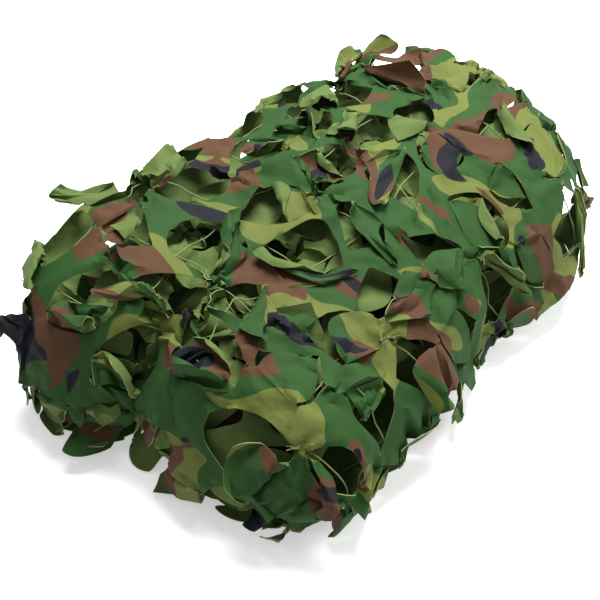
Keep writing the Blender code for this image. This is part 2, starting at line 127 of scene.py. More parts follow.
class Wire:
    # a node socket that can be added, taken away and multiplied like a number
    def __init__(self, tree, socket=None):
        self.tree = tree
        self.socket = socket

    def node(self, kind, settings, inputs, out=0):
        made = self.tree.nodes.new(kind)
        for key, value in settings.items():
            setattr(made, key, value)
        for key, value in inputs.items():
            if isinstance(value, Wire):
                self.tree.links.new(value.socket, made.inputs[key])
            else:
                made.inputs[key].default_value = value
        return Wire(self.tree, made.outputs[out])

    def maths(self, operation, *values):
        return self.node("ShaderNodeMath", {"operation": operation}, dict(enumerate(values)))

    def __add__(self, other):
        return self.maths("ADD", self, other)

    def __sub__(self, other):
        return self.maths("SUBTRACT", self, other)

    def __mul__(self, other):
        return self.maths("MULTIPLY", self, other)

    def __rsub__(self, other):
        return self.maths("SUBTRACT", other, self)

    __radd__ = __add__
    __rmul__ = __mul__

    def step(self, low, high):
        settings = {"interpolation_type": "SMOOTHSTEP"}
        return self.node("ShaderNodeMapRange", settings, {"Value": self, "From Min": low, "From Max": high})

    def mix(self, first, second):
        return self.node("ShaderNodeMix", {"data_type": "RGBA"}, {0: self, 6: first, 7: second}, 2)

    def vector(self, operation, first, second):
        return self.node("ShaderNodeVectorMath", {"operation": operation}, {0: first, 1: second})

    def scaled(self, vector, amount):
        return self.node("ShaderNodeVectorMath", {"operation": "SCALE"}, {0: vector, "Scale": amount})

    def noise(self, vector, scale, detail, rough, out=0):
        inputs = {"Vector": vector, "Scale": scale, "Detail": detail, "Roughness": rough}
        return self.node("ShaderNodeTexNoise", {}, inputs, out)


def paint(red, green, blue):
    # a screen colour of 0 to 255 as the shader's linear one
    def linear(value):
        value = value / 255.0
        return value / 12.92 if value <= 0.04045 else ((value + 0.055) / 1.055) ** 2.4
    return (linear(red), linear(green), linear(blue), 1.0)


def newMaterial(name, roughness, gloss):
    material = bpy.data.materials.new(name)
    material.use_nodes = True
    shader = material.node_tree.nodes["Principled BSDF"]
    shader.inputs["Roughness"].default_value = roughness
    shader.inputs["Specular IOR Level"].default_value = gloss
    return material, shader, Wire(material.node_tree)


def plug(wire, shader, name):
    wire.tree.links.new(wire.socket, shader.inputs[name])


clothLook = {
    "front": (0.78, 0.18),        # roughness and specular level
    "khaki": (88, 97, 44),
    # dark green, brown and black blobs over the khaki: colour, shift, share of the scale, threshold
    "blobs": (
        ((35, 67, 26), (3.1, 8.2, 0.0), 1.0, 0.43),
        ((74, 50, 32), (21.7, 4.4, 0.0), 1.05, 0.575),
        ((16, 18, 26), (9.3, 31.5, 0.0), 1.25, 0.655),
    ),
    "blobEdge": 0.0025,
    "blobScale": (12.0, 17.0),    # turns per metre along and across the strip
    "blobGrain": (1.0, 0.6, 0.4),
    "warp": 0.050,                # metres by which the blobs are bent
    "warpGrain": (11.0, 1.0, 0.4),
    # turns per metre, detail and roughness of a noise, and how much of it counts
    # painted light and shade: soft patches that make the whole print lighter and darker
    "shadePatches": ((16.0, 5.0, 0.6), 0.36, 0.82),
    "crinkle": ((60.0, 4.0, 0.6), 0.7),
    "weave": ((900.0, 1.0, 0.5), 0.06),
    "ridge": ((26.0, 2.0, 0.5), 4.0),
    "bump": {"Strength": 0.42, "Distance": 0.002},
}

# one-colour looks: colour, roughness, specular level, noise, its share and its least light
plainLooks = {
    "plain_reverse": ((79, 97, 50), 0.82, 0.16, (14.0, 5.0, 0.6), 0.4, 0.8),
    "cut_edge": ((136, 146, 92), 0.85, 0.2, (120.0, 3.0, 0.6), 0.7, 0.55),
    "mesh_string": ((112, 126, 72), 0.8, 0.5, (180.0, 2.0, 0.5), 0.6, 0.6),
}


def flatPlace(wire):
    return wire.node("ShaderNodeUVMap", {"uv_map": "flat"}, {})


def objectPlace(wire):
    return wire.node("ShaderNodeTexCoord", {}, {}, 3)


def clothBump(wire, place):
    # fine weave, the soft crinkle of thin polyester and its faint creases
    (crinkleGrain, crinkleShare), (weaveGrain, weaveShare) = clothLook["crinkle"], clothLook["weave"]
    ridgeGrain, ridgeShare = clothLook["ridge"]
    crinkle = wire.noise(place, *crinkleGrain)
    weave = wire.noise(place, *weaveGrain)
    ridge = wire.maths("ABSOLUTE", wire.noise(place, *ridgeGrain) - 0.5)
    height = crinkle * crinkleShare + weave * weaveShare - ridge * ridgeShare
    return wire.node("ShaderNodeBump", {}, {**clothLook["bump"], "Height": height})


def frontMaterial():
    material, shader, wire = newMaterial("camouflage_front", *clothLook["front"])
    place = flatPlace(wire)
    bend = wire.vector("SUBTRACT", wire.noise(place, *clothLook["warpGrain"], 1), (0.5, 0.5, 0.5))
    bent = wire.vector("ADD", place, wire.scaled(bend, clothLook["warp"] * 2))
    along, across = clothLook["blobScale"]
    soft = clothLook["blobEdge"]
    colour = paint(*clothLook["khaki"])
    for blob, shift, share, level in clothLook["blobs"]:
        moved = wire.vector("ADD", wire.vector("MULTIPLY", bent, (along * share, across * share, 1.0)), shift)
        inBlob = wire.noise(moved, *clothLook["blobGrain"]).step(level - soft, level + soft)
        colour = inBlob.mix(colour, paint(*blob))
    # painted light and shade: the print's colour is made lighter and darker in soft patches
    grain, share, least = clothLook["shadePatches"]
    plug(wire.scaled(colour, wire.noise(place, *grain) * share + least), shader, "Base Color")
    plug(clothBump(wire, place), shader, "Normal")
    return material


def plainMaterial(name, placeOf, bumpy):
    colour, roughness, gloss, grain, share, least = plainLooks[name]
    material, shader, wire = newMaterial(name, roughness, gloss)
    place = placeOf(wire)
    light = wire.noise(place, *grain) * share + least
    plug(wire.scaled(paint(*colour)[:3], light), shader, "Base Color")
    if bumpy:
        plug(clothBump(wire, place), shader, "Normal")
    return material


# The folded section, from the free edge on the floor to the inner end of the strip, in millimetres:
# y and z in the section, and how far the strip reaches along its width at the -X and +X ends.
section = (
    (144, 0, -286, 268), (70, 0, -302, 272), (-30, 0, -292, 280),
    (-118, 0, -290, 286), (-132, 0, -292, 290), (-166, 7, -290, 300),
    (-190, 32, -294, 318), (-194, 66, -300, 332), (-182, 99, -304, 340),
    (-148, 123, -308, 346), (-92, 133, -312, 350), (-20, 137, -300, 354),
    (50, 136, -318, 350), (110, 131, -312, 330), (146, 125, -300, 300),
    (166, 112, -292, 278), (150, 99, -292, 262), (105, 97, -304, 262),
    (0, 102, -286, 268), (-100, 99, -300, 262), (-138, 95, -292, 258),
    (-153, 82, -286, 254), (-138, 69, -288, 252), (-100, 66, -300, 254),
    (0, 69, -290, 262), (110, 65, -312, 262), (148, 61, -288, 256),
    (163, 48, -272, 250), (148, 35, -266, 252), (100, 32, -276, 260),
    (0, 35, -282, 262), (-95, 33, -296, 258), (-140, 31, -286, 250),
)

# For each layer: the section's row it ends at; grain of its mesh; how much further out it starts than its
# solid; how much longer the cloth is than the way between its ties; depth of the firm stack under it;
# depth of its long and of its fine folds
layers = {
    "floor": (4, 0.014, 0.0, 0.0, 0.010, 0.0, 0.0),
    "wrap": (10, 0.0056, -0.003, 0.04, 0.013, 0.0045, 0.0011),
    "top": (14, 0.0053, 0.006, 0.08, -0.001, 0.0050, 0.0012),
    "turnTop": (17, 0.0060, 0.002, 0.03, 0.004, 0.0030, 0.0010),
    "second": (19, 0.0068, -0.018, 0.16, 0.0, 0.0090, 0.0034),
    "turnSecond": (23, 0.0075, 0.0, 0.02, 0.0, 0.0040, 0.0022),
    "third": (25, 0.013, 0.0, 0.0, 0.0, 0.0030, 0.0010),
    "turnThird": (29, 0.012, 0.0, 0.0, 0.0, 0.0010, 0.0006),
    "fourth": (32, 0.014, 0.0, 0.0, 0.0, 0.0030, 0.0010),
}
layerNames = list(layers)
layerColumns = ("end", "grain", "rise", "slack", "cushion", "longFold", "fineFold")
layerSizes = {column: [row[k] for row in layers.values()] for k, column in enumerate(layerColumns)}
shownLayers = ("wrap", "top", "turnTop")
inwardLayers = ("floor", "second", "fourth")     # their leaves turn towards the inside of the strip's curve

# how the square stack settles: rounded ends, two lobes, a taper and a leaning side
loaf = {
    "shift": (-0.02798, 0.01922, 0.0012),
    "topHeight": 0.137,
    "endStart": (0.165, 0.250),
    "endRadius": (0.092, 0.095),
    "endTurn": 1.02,
    "hang": (0.52, 0.85),
    "halfLength": 0.29,
    "taper": 0.076,
    "corner": (0.19, 0.27),
    "far": (0.05, 0.12, 0.08),
    "shapeStart": 0.07,
    "topHold": (0.05, 0.35),
    "notch": (0.19, -0.008, 0.026, 0.32),
    "sideWiden": 0.059,
    "foot": (0.12, 0.014),
    "heightSlope": 0.032,
    "longSkew": 0.105,
    "halfWidth": 0.18,
    "swayHeight": 0.05,
    "spanSteps": 40,
    # y, dx of the plan reach of the -X end
    "endShape": (
        (-0.190, 0.016), (-0.145, 0.003), (-0.085, 0.004), (-0.040, 0.012), (-0.008, 0.037),
        (0.030, 0.006), (0.075, -0.014), (0.120, -0.004), (0.180, 0.032),
    ),
    # waves: size, turns along x (or the strip), along y or z, and phase
    "swells": ((0.035, 11.0, 14.0, 0.7), (0.025, 23.0, -9.0, 0.0)),
    "sways": ((0.006, 13.0, 20.0, 0.0), (0.004, 31.0, -26.0, 1.3)),
    "edgeNeg": ((0.010, 47.0, 0.0, 0.0), (0.007, 83.0, 0.0, 1.0)),
    "edgePos": ((0.008, 53.0, 0.0, 2.0), (0.005, 91.0, 0.0, 0.0)),
    # from, to, by how much and over what length the second layer fills the hanging end at +X
    "longer": (0.80, 1.06, 0.045, 0.04),
    "tangentStep": 0.003,
}


def ramp(value, start, end):
    t = np.clip((value - start) / (end - start), 0.0, 1.0)
    return t * t * (3.0 - 2.0 * t)


def waved(total, rows, x, y):
    for size, perX, perY, phase in rows:
        total = total + size * np.sin(perX * x + perY * y + phase)
    return total


def around(draw, size):
    return draw.uniform(-size, size)


def splineRows(rows, steps):
    # a smooth curve through the rows, with so many points a span
    pts = np.array(rows, float)
    ext = np.vstack([2 * pts[0] - pts[1], pts, 2 * pts[-1] - pts[-2]])
    out = []
    t = (np.arange(steps) / steps)[:, None]
    for k in range(1, len(ext) - 2):
        a, b, c, d = ext[k - 1], ext[k], ext[k + 1], ext[k + 2]
        out.append(0.5 * (2 * b + (c - a) * t + (2 * a - 5 * b + 4 * c - d) * t ** 2
                          + (3 * b - a - 3 * c + d) * t ** 3))
    out.append(pts[-1:])
    return np.vstack(out)


curve = splineRows(np.array(section) / 1000.0, loaf["spanSteps"])
curve[:, 1] = np.maximum(curve[:, 1], 0.0)
# lengths along the flat strip, which the cut pattern is laid out on
curveU = np.concatenate([[0.0], np.cumsum(np.hypot(np.diff(curve[:, 0]), np.diff(curve[:, 1])))])
stripLength = float(curveU[-1])
layerEnds = [float(curveU[row * loaf["spanSteps"]]) for row in layerSizes["end"][:-1]]


def layerOf(u):
    for end, name in zip(layerEnds, layerNames):
        if u < end:
            return name
    return layerNames[-1]


def layerStart(name):
    return layerEnds[layerNames.index(name) - 1]


def layerSize(name, column):
    return layerSizes[column][layerNames.index(name)]


def byLayer(u, column):
    # a layer's size, blended over the joints between the layers
    blend = 0.22
    ends = [0.0] + layerEnds + [stripLength]
    places = []
    sizes = []
    for k, size in enumerate(layerSizes[column]):
        width = ends[k + 1] - ends[k]
        places += [ends[k] + blend * width, ends[k + 1] - blend * width]
        sizes += [size] * 2
    return np.interp(np.asarray(u, float), places, sizes)


def onCurve(u, column):
    return np.interp(u, curveU, curve[:, column])


def sectionAt(u):
    # y, z and direction of the section at this length along the strip
    half = loaf["tangentStep"]
    mid = np.clip(np.asarray(u, float), half, stripLength - half)
    y, z = onCurve(mid, 0), onCurve(mid, 1)
    dy, dz = (onCurve(mid + half, k) - onCurve(mid - half, k) for k in (0, 1))
    size = np.hypot(dy, dz)
    over = u - mid
    return y + over * dy / size, z + over * dz / size, dy / size, dz / size


def endBend(past, radius):
    turn = np.minimum(past / radius, loaf["endTurn"])
    hang = np.clip(past - loaf["endTurn"] * radius, 0.0, None)
    out, down = loaf["hang"]
    return radius * np.sin(turn) + out * hang, radius * (1 - np.cos(turn)) + down * hang


def settle(x, y, z):
    # carries a point of the folded, still square stack to its place in the soft bundle
    startNeg, startPos = loaf["endStart"]
    runNeg, dropNeg = endBend(np.clip(-x - startNeg, 0.0, None), loaf["endRadius"][0])
    runPos, dropPos = endBend(np.clip(x - startPos, 0.0, None), loaf["endRadius"][1])
    run = np.clip(x, -startNeg, startPos) - runNeg + runPos
    reachX = loaf["halfLength"]
    height = 1.0 - (dropNeg + dropPos) / loaf["topHeight"]
    endY, endDx = zip(*loaf["endShape"])
    pull = np.interp(y, endY, endDx) * ramp(-run, loaf["shapeStart"], reachX)
    pull = pull * (1.0 - loaf["topHold"][1] * ramp(z, loaf["topHold"][0], loaf["topHeight"]))
    start, notchY, notchWide, sink = loaf["notch"]
    groove = np.exp(-((y - notchY) / notchWide) ** 2) * ramp(-run, start, reachX)
    height = height * (1.0 - sink * groove)
    height = height * waved(1.0, loaf["swells"], run, y)
    corner = 1.0 - loaf["corner"][1] * ramp(np.abs(run), loaf["corner"][0], reachX) ** 2
    farStart, farY, farPull = loaf["far"]
    far = ramp(y, 0.0, farY) * ramp(-run, farStart, reachX)
    wide = corner * (1.0 - farPull * far) * (1.0 - loaf["taper"] * run / reachX)
    z = np.maximum(z, 0.0)
    sway = waved(0.0, loaf["sways"], run, z)
    x = run + pull
    y = y * wide + sway * ramp(z, 0.0, loaf["swayHeight"])
    z = z * height
    y = y + loaf["sideWiden"] * np.minimum(y, 0.0) * x / reachX
    footRun, footOut = loaf["foot"]
    y = y - footOut * ramp(-y, 0.0, footRun) * np.clip(1.0 - z / loaf["topHeight"], 0.0, 1.0)
    z = z * (1.0 + loaf["heightSlope"] * y / loaf["halfWidth"])
    x = x * (1.0 + loaf["longSkew"] * y / loaf["halfWidth"])
    sx, sy, sz = loaf["shift"]
    return np.stack([x + sx, y + sy, z + sz], -1)


def reach(u):
    # how far the strip and its tongues reach at the -X and +X ends
    neg = waved(onCurve(u, 2), loaf["edgeNeg"], u, 0.0)
    pos = waved(onCurve(u, 3), loaf["edgePos"], u, 0.0)
    low, high, more, blend = loaf["longer"]
    return neg, pos + more * ramp(u, low, low + blend) * ramp(-u, -high, blend - high)


# the knots that tie the cloth to the string mesh, in staggered rows, and the pleats round them
ties = {
    "pitch": 0.150,
    "sink": 0.0055,
    "radius": 0.040,
    "pleats": 7,
    "pleatHeight": 0.0030,
    "pleatRun": (0.002, 0.018),
    "pleatPhase": (3.0, 5.0),     # by row and by column
    "from": (0.02, 0.08),         # past the start of the round side
    "spot": 0.007,
    "draw": 0.036,                # the cloth is gathered to its ties from this far
    "drawShare": (0.45, 0.55),
    "margin": 0.03,
}

# soft creases that come and go: seed, count, least and most waves per metre, sharpness
folds = {
    "longFold": (5, 5, 45.0, 95.0, 0.7),
    "fineFold": (9, 6, 120.0, 260.0, 0.8),
}
foldShape = {
    "phase": (0.0, 6.28),
    "slow": (8.0, 16.0),
    "bendU": (0.9, 1.7),      # size, and share of the slow waves
    "bendV": (0.7, 1.3),
    "fade": 0.2,
    "mean": 0.35,
}


def foldTrains(seed, count, low, high, sharp):
    draw = random.Random(seed)
    trains = []
    for _ in range(count):
        heading = draw.uniform(0.0, math.pi)
        waves = draw.uniform(low, high)
        phase = draw.uniform(*foldShape["phase"])
        slow = draw.uniform(*foldShape["slow"])
        trains.append((math.cos(heading) * waves, math.sin(heading) * waves, phase, slow,
                       draw.uniform(*foldShape["phase"]), draw.uniform(*foldShape["phase"])))
    return trains, sharp


foldSets = {name: foldTrains(*row) for name, row in folds.items()}


def folded(u, v, name):
    # each train of ridges runs in its own direction, bends and fades in and out
    trains, sharp = foldSets[name]
    (sizeU, slowU), (sizeV, slowV) = foldShape["bendU"], foldShape["bendV"]
    total = 0.0
    for ku, kv, phase, slow, phaseA, phaseB in trains:
        bend = sizeU * np.sin(slow * slowU * u + phaseB) + sizeV * np.sin(slow * slowV * v + phaseA)
        wave = np.abs(np.sin(0.5 * (ku * u + kv * v + phase + bend)))
        mask = np.clip(foldShape["fade"] + np.sin(slow * u + phaseA) * np.sin(slow * v + phaseB), 0.0, 1.0)
        total = total + (1.0 - wave ** sharp) * mask
    return total / len(trains) ** 0.5 - foldShape["mean"]


def drape(u, v):
    # how far the cloth stands off its smooth fold: ties, pleats round them, and soft creases
    u = np.asarray(u, float)
    v = np.asarray(v, float)
    pitch = ties["pitch"]
    cell = np.floor(u / pitch + 0.5)
    du = (u / pitch + 0.5) % 1.0 - 0.5
    dv = (v / pitch + 0.5 * (cell % 2) + 0.5) % 1.0 - 0.5
    far = np.hypot(du, dv) * pitch
    angle = np.arctan2(dv, du)
    near = np.exp(-(far / ties["radius"]) ** 2)
    start = layerStart("wrap")
    shown = ramp(u, start + ties["from"][0], start + ties["from"][1])
    perRow, perColumn = ties["pleatPhase"]
    pleat = np.cos(ties["pleats"] * angle + perRow * cell + perColumn * np.floor(v / pitch + 0.5))
    rise = -ties["sink"] * near + ties["pleatHeight"] * pleat * near * ramp(far, *ties["pleatRun"])
    rise = rise * shown
    for name in folds:
        rise = rise + byLayer(u, name) * folded(u, v, name)
    return rise + byLayer(u, "rise")


def clothPoint(u, v, lift=0.0):
    y, z, ty, tz = sectionAt(u)
    rise = lift + drape(u, v)
    return settle(np.asarray(v, float), y - tz * rise, z + ty * rise)


cloth = {
    "thick": 0.0007,
    "smooth": 50,            # degrees up to which its faces shade smoothly
    "leafLength": 0.051,
    "leafWidth": 0.048,
    "leafGrow": 1.14,        # the leaves fill the solids' slits up to their rims
    "leastStrip": 0.006,
    "closest": 0.09,         # leaves whose middles are farther apart can't touch
    "kerfs": (0.0014, 0.0024),      # width of the cut beside a leaf and at its tip
    "edgeDraw": 0.012,       # the strip's own edge lies this far inside the tongues' mean reach
    "edgeStep": 0.007,
    "endStep": 0.01,
    "endWaves": ((0.004, 40.0), (0.006, 33.0)),      # size and turns of the wavy cut of the two ends
    "firstRow": 0.004,
    "rowHeight": 0.866,      # the mesh's points lie in staggered rows
    "clearance": 0.62,       # share of the grain that they keep from the cuts
    "overhang": 0.035,
}

# half outlines from hinge to tip: along and out, in hundredths of the length and the half width
leafForms = {
    "pointed": ((0, 84), (12, 97), (26, 102), (42, 93), (57, 74), (71, 51), (83, 29), (93, 12), (100, 0)),
    "round": ((0, 80), (10, 94), (24, 102), (42, 105), (60, 101), (76, 86), (89, 60), (97, 32), (100, 0)),
    "kite": ((0, 78), (14, 90), (30, 102), (42, 106), (54, 92), (68, 66), (82, 38), (93, 15), (100, 0)),
    "blunt": ((0, 86), (12, 95), (28, 100), (46, 104), (64, 106), (80, 100), (92, 80), (98.5, 42), (100, 0)),
}

leafBend = {
    "steps": 32,
    "hingeRun": (-0.02, 0.14),
    "waves": 7.0,
    "narrow": 0.35,
    "normalStep": 0.002,
    "swingRun": 0.4,
    "rootFade": 0.012,
    "onHinge": 1e-5,
}


class Leaf:
    # one leaf of the cut pattern: its outline, hinge and the way it curls
    def __init__(self, base, angle, length, half, form, skew, kerfs):
        self.along = np.array([math.cos(angle), math.sin(angle)])
        self.across = np.array([-math.sin(angle), math.cos(angle)])
        self.length = length
        self.half = half
        self.base = np.array(base)
        rows = splineRows(np.array(leafForms[form]) / 100.0, 2)
        rows[:, 1] = np.maximum(rows[:, 1], 0.0)
        lean = skew * half
        kerf, tipKerf = kerfs
        inner = []
        outer = []
        for p, q in rows:
            shift = lean * p * p
            inner.append((p * length, q * half, shift))
            outer.append((p * length + kerf * p, q * half + kerf, shift))
        outer[-1] = (length + tipKerf, 0.0, lean)
        self.leaf = self.mirrored(inner)
        self.rim = self.mirrored(outer)

    def place(self, p, q):
        return self.base + self.along * p + self.across * q

    def mirrored(self, rows):
        left = [self.place(p, shift - q) for p, q, shift in rows]
        right = [self.place(p, shift + q) for p, q, shift in rows[-2::-1]]
        return np.array(left + right)

    def pose(self, side, hinge, curl, bow, cup, twist, wave, conform, swing=0.0):
        self.side, self.hinge, self.curl, self.bow = side, hinge, curl, bow
        self.cup, self.twist, self.wave, self.conform = cup, twist, wave, conform
        self.swing = swing

    def bent(self, p, q):
        # run ahead, sideways place and rise of a flat point once the leaf has turned and curled
        steps = np.linspace(0.0, 1.0, leafBend["steps"] + 1)
        theta = self.hinge * ramp(steps, *leafBend["hingeRun"]) + self.curl * steps ** self.bow
        theta = theta + self.wave * np.sin(leafBend["waves"] * steps) * steps
        mid = 0.5 * (theta[1:] + theta[:-1])
        stride = self.length / leafBend["steps"]
        ahead = np.concatenate([[0.0], np.cumsum(np.cos(mid) * stride)])
        rise = np.concatenate([[0.0], np.cumsum(np.sin(mid) * stride)])
        share = np.clip(p / self.length, 0.0, 1.0)
        side = q / self.half
        lift = self.half * share * (self.cup * side ** 2 + self.twist * side * share)
        turn = np.interp(share, steps, theta)
        sideways = q * (1.0 - leafBend["narrow"] * share * np.abs(self.cup) * side ** 2)
        return (np.interp(share, steps, ahead) - np.sin(turn) * lift, sideways,
                np.interp(share, steps, rise) + np.cos(turn) * lift)

    def frame(self):
        # the cloth's own directions at the hinge
        u, v = self.base
        d = leafBend["normalStep"]
        overU = clothPoint(u + d, v) - clothPoint(u - d, v)
        overV = clothPoint(u, v + d) - clothPoint(u, v - d)
        ahead = self.along[0] * overU + self.along[1] * overV
        normal = np.cross(overV, overU)
        ahead = ahead / np.linalg.norm(ahead)
        normal = normal / np.linalg.norm(normal)
        return ahead, np.cross(normal, ahead), normal

    def hang(self, flat, places, rows):
        # keeps the flat and the folded places of the hinge's points, in order across it
        onHinge = rows[((flat[rows] - self.base) @ self.along) < leafBend["onHinge"]]
        across = (flat[onHinge] - self.base) @ self.across
        order = np.argsort(across)
        self.hingeQ = across[order]
        self.hingeAt = places[onHinge][order]

    def lifted(self, flat, swing):
        # places of these flat points; swing: degrees by which the leaf is dragged round sideways
        local = flat - self.base
        p = local @ self.along
        q = local @ self.across
        run, sideways, rise = self.bent(p, q)
        rise = rise * self.side
        turn = math.radians(swing) * ramp(p / self.length, 0.0, leafBend["swingRun"])
        cosTurn, sinTurn = np.cos(turn), np.sin(turn)
        run, sideways = run * cosTurn - sideways * sinTurn, run * sinTurn + sideways * cosTurn
        foot = self.base + q[:, None] * self.across
        root = np.stack([np.interp(q, self.hingeQ, self.hingeAt[:, k]) for k in range(3)], -1)
        ahead, cross, normal = self.frame()
        stiff = root + run[:, None] * ahead + (sideways - q)[:, None] * cross + rise[:, None] * normal
        lying = self.base + run[:, None] * self.along + sideways[:, None] * self.across
        lying = clothPoint(lying[:, 0], lying[:, 1], rise)
        fix = root - clothPoint(foot[:, 0], foot[:, 1])
        lying = lying + fix * np.exp(-(p / leafBend["rootFade"]))[:, None]
        share = self.conform
        return stiff * (1.0 - share) + lying * share


def inside(points, polygon):
    x, y = points[:, 0], points[:, 1]
    hit = np.zeros(len(points), bool)
    for (x0, y0), (x1, y1) in zip(polygon, np.roll(polygon, -1, axis=0)):
        if y0 != y1:
            hit ^= ((y0 > y) != (y1 > y)) & (x < (x1 - x0) * (y - y0) / (y1 - y0) + x0)
    return hit


def crossing(leaf, other):
    # whether two slits come closer than the strip of cloth that has to stay between them
    apart = leaf.base + leaf.along * leaf.length / 2 - other.base - other.along * other.length / 2
    if np.linalg.norm(apart) > cloth["closest"]:
        return False
    gap = leaf.rim[:, None, :] - other.rim[None, :, :]
    return (np.linalg.norm(gap, axis=-1).min() < cloth["leastStrip"] or inside(leaf.rim, other.rim).any()
            or inside(other.rim, leaf.rim).any())


def hingePlace(u, v, turn, length):
    return np.array([u, v]) - np.array([math.cos(turn), math.sin(turn)]) * length * 0.5


slits = {
    "seed": 12,
    "pitch": (0.066, 0.070),
    "hiddenPitch": 1.22,
    "firstRow": 0.045,
    "columns": 5,            # to each side of the middle
    "jitter": 0.006,
    "turns": (0.5, 0.5, -0.5, 0.0, 1.0),      # half turns
    "turnJitter": 0.6,
    "scale": (0.90, 1.08),
    "forms": ("pointed", "kite", "round", "blunt", "pointed"),
    "skew": 0.9,
    "alongTurn": 0.8,        # in a turn of the strip, leaves lie along it: the least cosine
    "leftOut": 5,            # one in so many on hidden layers
    "floorClear": (0.19, 0.03),
    "hiddenReach": 0.215,
    "shrink": (0.8, 0.04),   # leaves that cross another are made smaller down to this, by this
    "footHeight": 0.010,
    "sideMargin": 0.009,
    "endMargin": 0.012,
}


def leafSlits():
    # the same staggered rows and uneven turns as the solids'
    draw = random.Random(slits["seed"])
    leaves = []
    row = 0
    rowPlace = slits["firstRow"]
    jitter = slits["jitter"]
    leastGrow, growStep = slits["shrink"]
    pitchU, pitchV = slits["pitch"]
    while rowPlace < stripLength - slits["firstRow"]:
        row += 1
        wide = 1.0 if layerOf(rowPlace) in shownLayers else slits["hiddenPitch"]
        for col in range(-slits["columns"], slits["columns"] + 1):
            u = rowPlace + around(draw, jitter)
            v = (col + 0.5 * (row % 2)) * pitchV * wide + around(draw, jitter)
            turn = draw.choice(slits["turns"]) * math.pi + around(draw, slits["turnJitter"])
            scale = draw.uniform(*slits["scale"])
            # four chances are drawn for each leaf and only the last is used
            skew = slits["skew"] * ([draw.random() for _ in range(4)][-1] - 0.5)
            layer = layerOf(u)
            hidden = layer not in shownLayers
            if layer == "turnSecond" or layer.startswith("turn") and abs(math.cos(turn)) < slits["alongTurn"]:
                continue
            if hidden and (row + col) % slits["leftOut"] == 0:
                continue
            if layer == "floor" and abs(v) < slits["floorClear"][0] and u > slits["floorClear"][1]:
                continue
            if (hidden or layer == "turnTop") and abs(v) > slits["hiddenReach"]:
                continue
            length = cloth["leafLength"] * scale
            half = cloth["leafWidth"] * scale / 2
            base = hingePlace(u, v, turn, length)
            form = slits["forms"][(row * 7 + col * 3) % len(slits["forms"])]
            grow = cloth["leafGrow"]
            while True:
                leaf = Leaf(base, turn, length * grow, half * grow, form, skew, cloth["kerfs"])
                if grow < leastGrow or not any(crossing(leaf, other) for other in leaves):
                    break
                grow -= growStep
            leaf.layer, leaf.centre = layer, (u, v)
            rimU, rimV = leaf.rim[:, 0], leaf.rim[:, 1]
            if layer == "wrap" and sectionAt(rimU)[1].min() < slits["footHeight"]:
                continue
            low, high = reach(rimU)
            if (rimV < low + slits["sideMargin"]).any() or (rimV > high - slits["sideMargin"]).any():
                continue
            if rimU.min() < slits["endMargin"] or rimU.max() > stripLength - slits["endMargin"]:
                continue
            leaves.append(leaf)
        rowPlace += pitchU * wide
    return leaves


extra = {
    "seed": 52,
    "tries": 900,
    "past": (0.02, 0.03),    # starts before the second layer, ends before the third
    "margin": 0.03,
    "farthest": 0.17,
    "nearBand": 0.12,        # every other try falls this near to the -X end
    "turns": (0.5, -0.5, 0.0, 1.0),
    "turnJitter": 0.7,
    "scale": (0.52, 0.86),
    "forms": ("pointed", "pointed", "round"),
    "skew": 0.5,
}


def extraSlits(leaves):
    # the second layer shows through the openings, so it has the finer pattern too
    draw = random.Random(extra["seed"])
    low, high = layerStart("second") - extra["past"][0], layerStart("third") - extra["past"][1]
    for attempt in range(extra["tries"]):
        u = draw.uniform(low, high)
        neg = reach(u)[0]
        v = draw.uniform(neg + extra["margin"], extra["farthest"] if attempt % 2 else neg + extra["nearBand"])
        turn = draw.choice(extra["turns"]) * math.pi + around(draw, extra["turnJitter"])
        scale = draw.uniform(*extra["scale"])
        length, half = cloth["leafLength"] * scale, cloth["leafWidth"] * scale / 2
        leaf = Leaf(hingePlace(u, v, turn, length), turn, length, half, draw.choice(extra["forms"]),
                    around(draw, extra["skew"]), cloth["kerfs"])
        if any(crossing(leaf, other) for other in leaves):
            continue
        leaf.layer, leaf.centre = "second", (u, v)
        leaves.append(leaf)


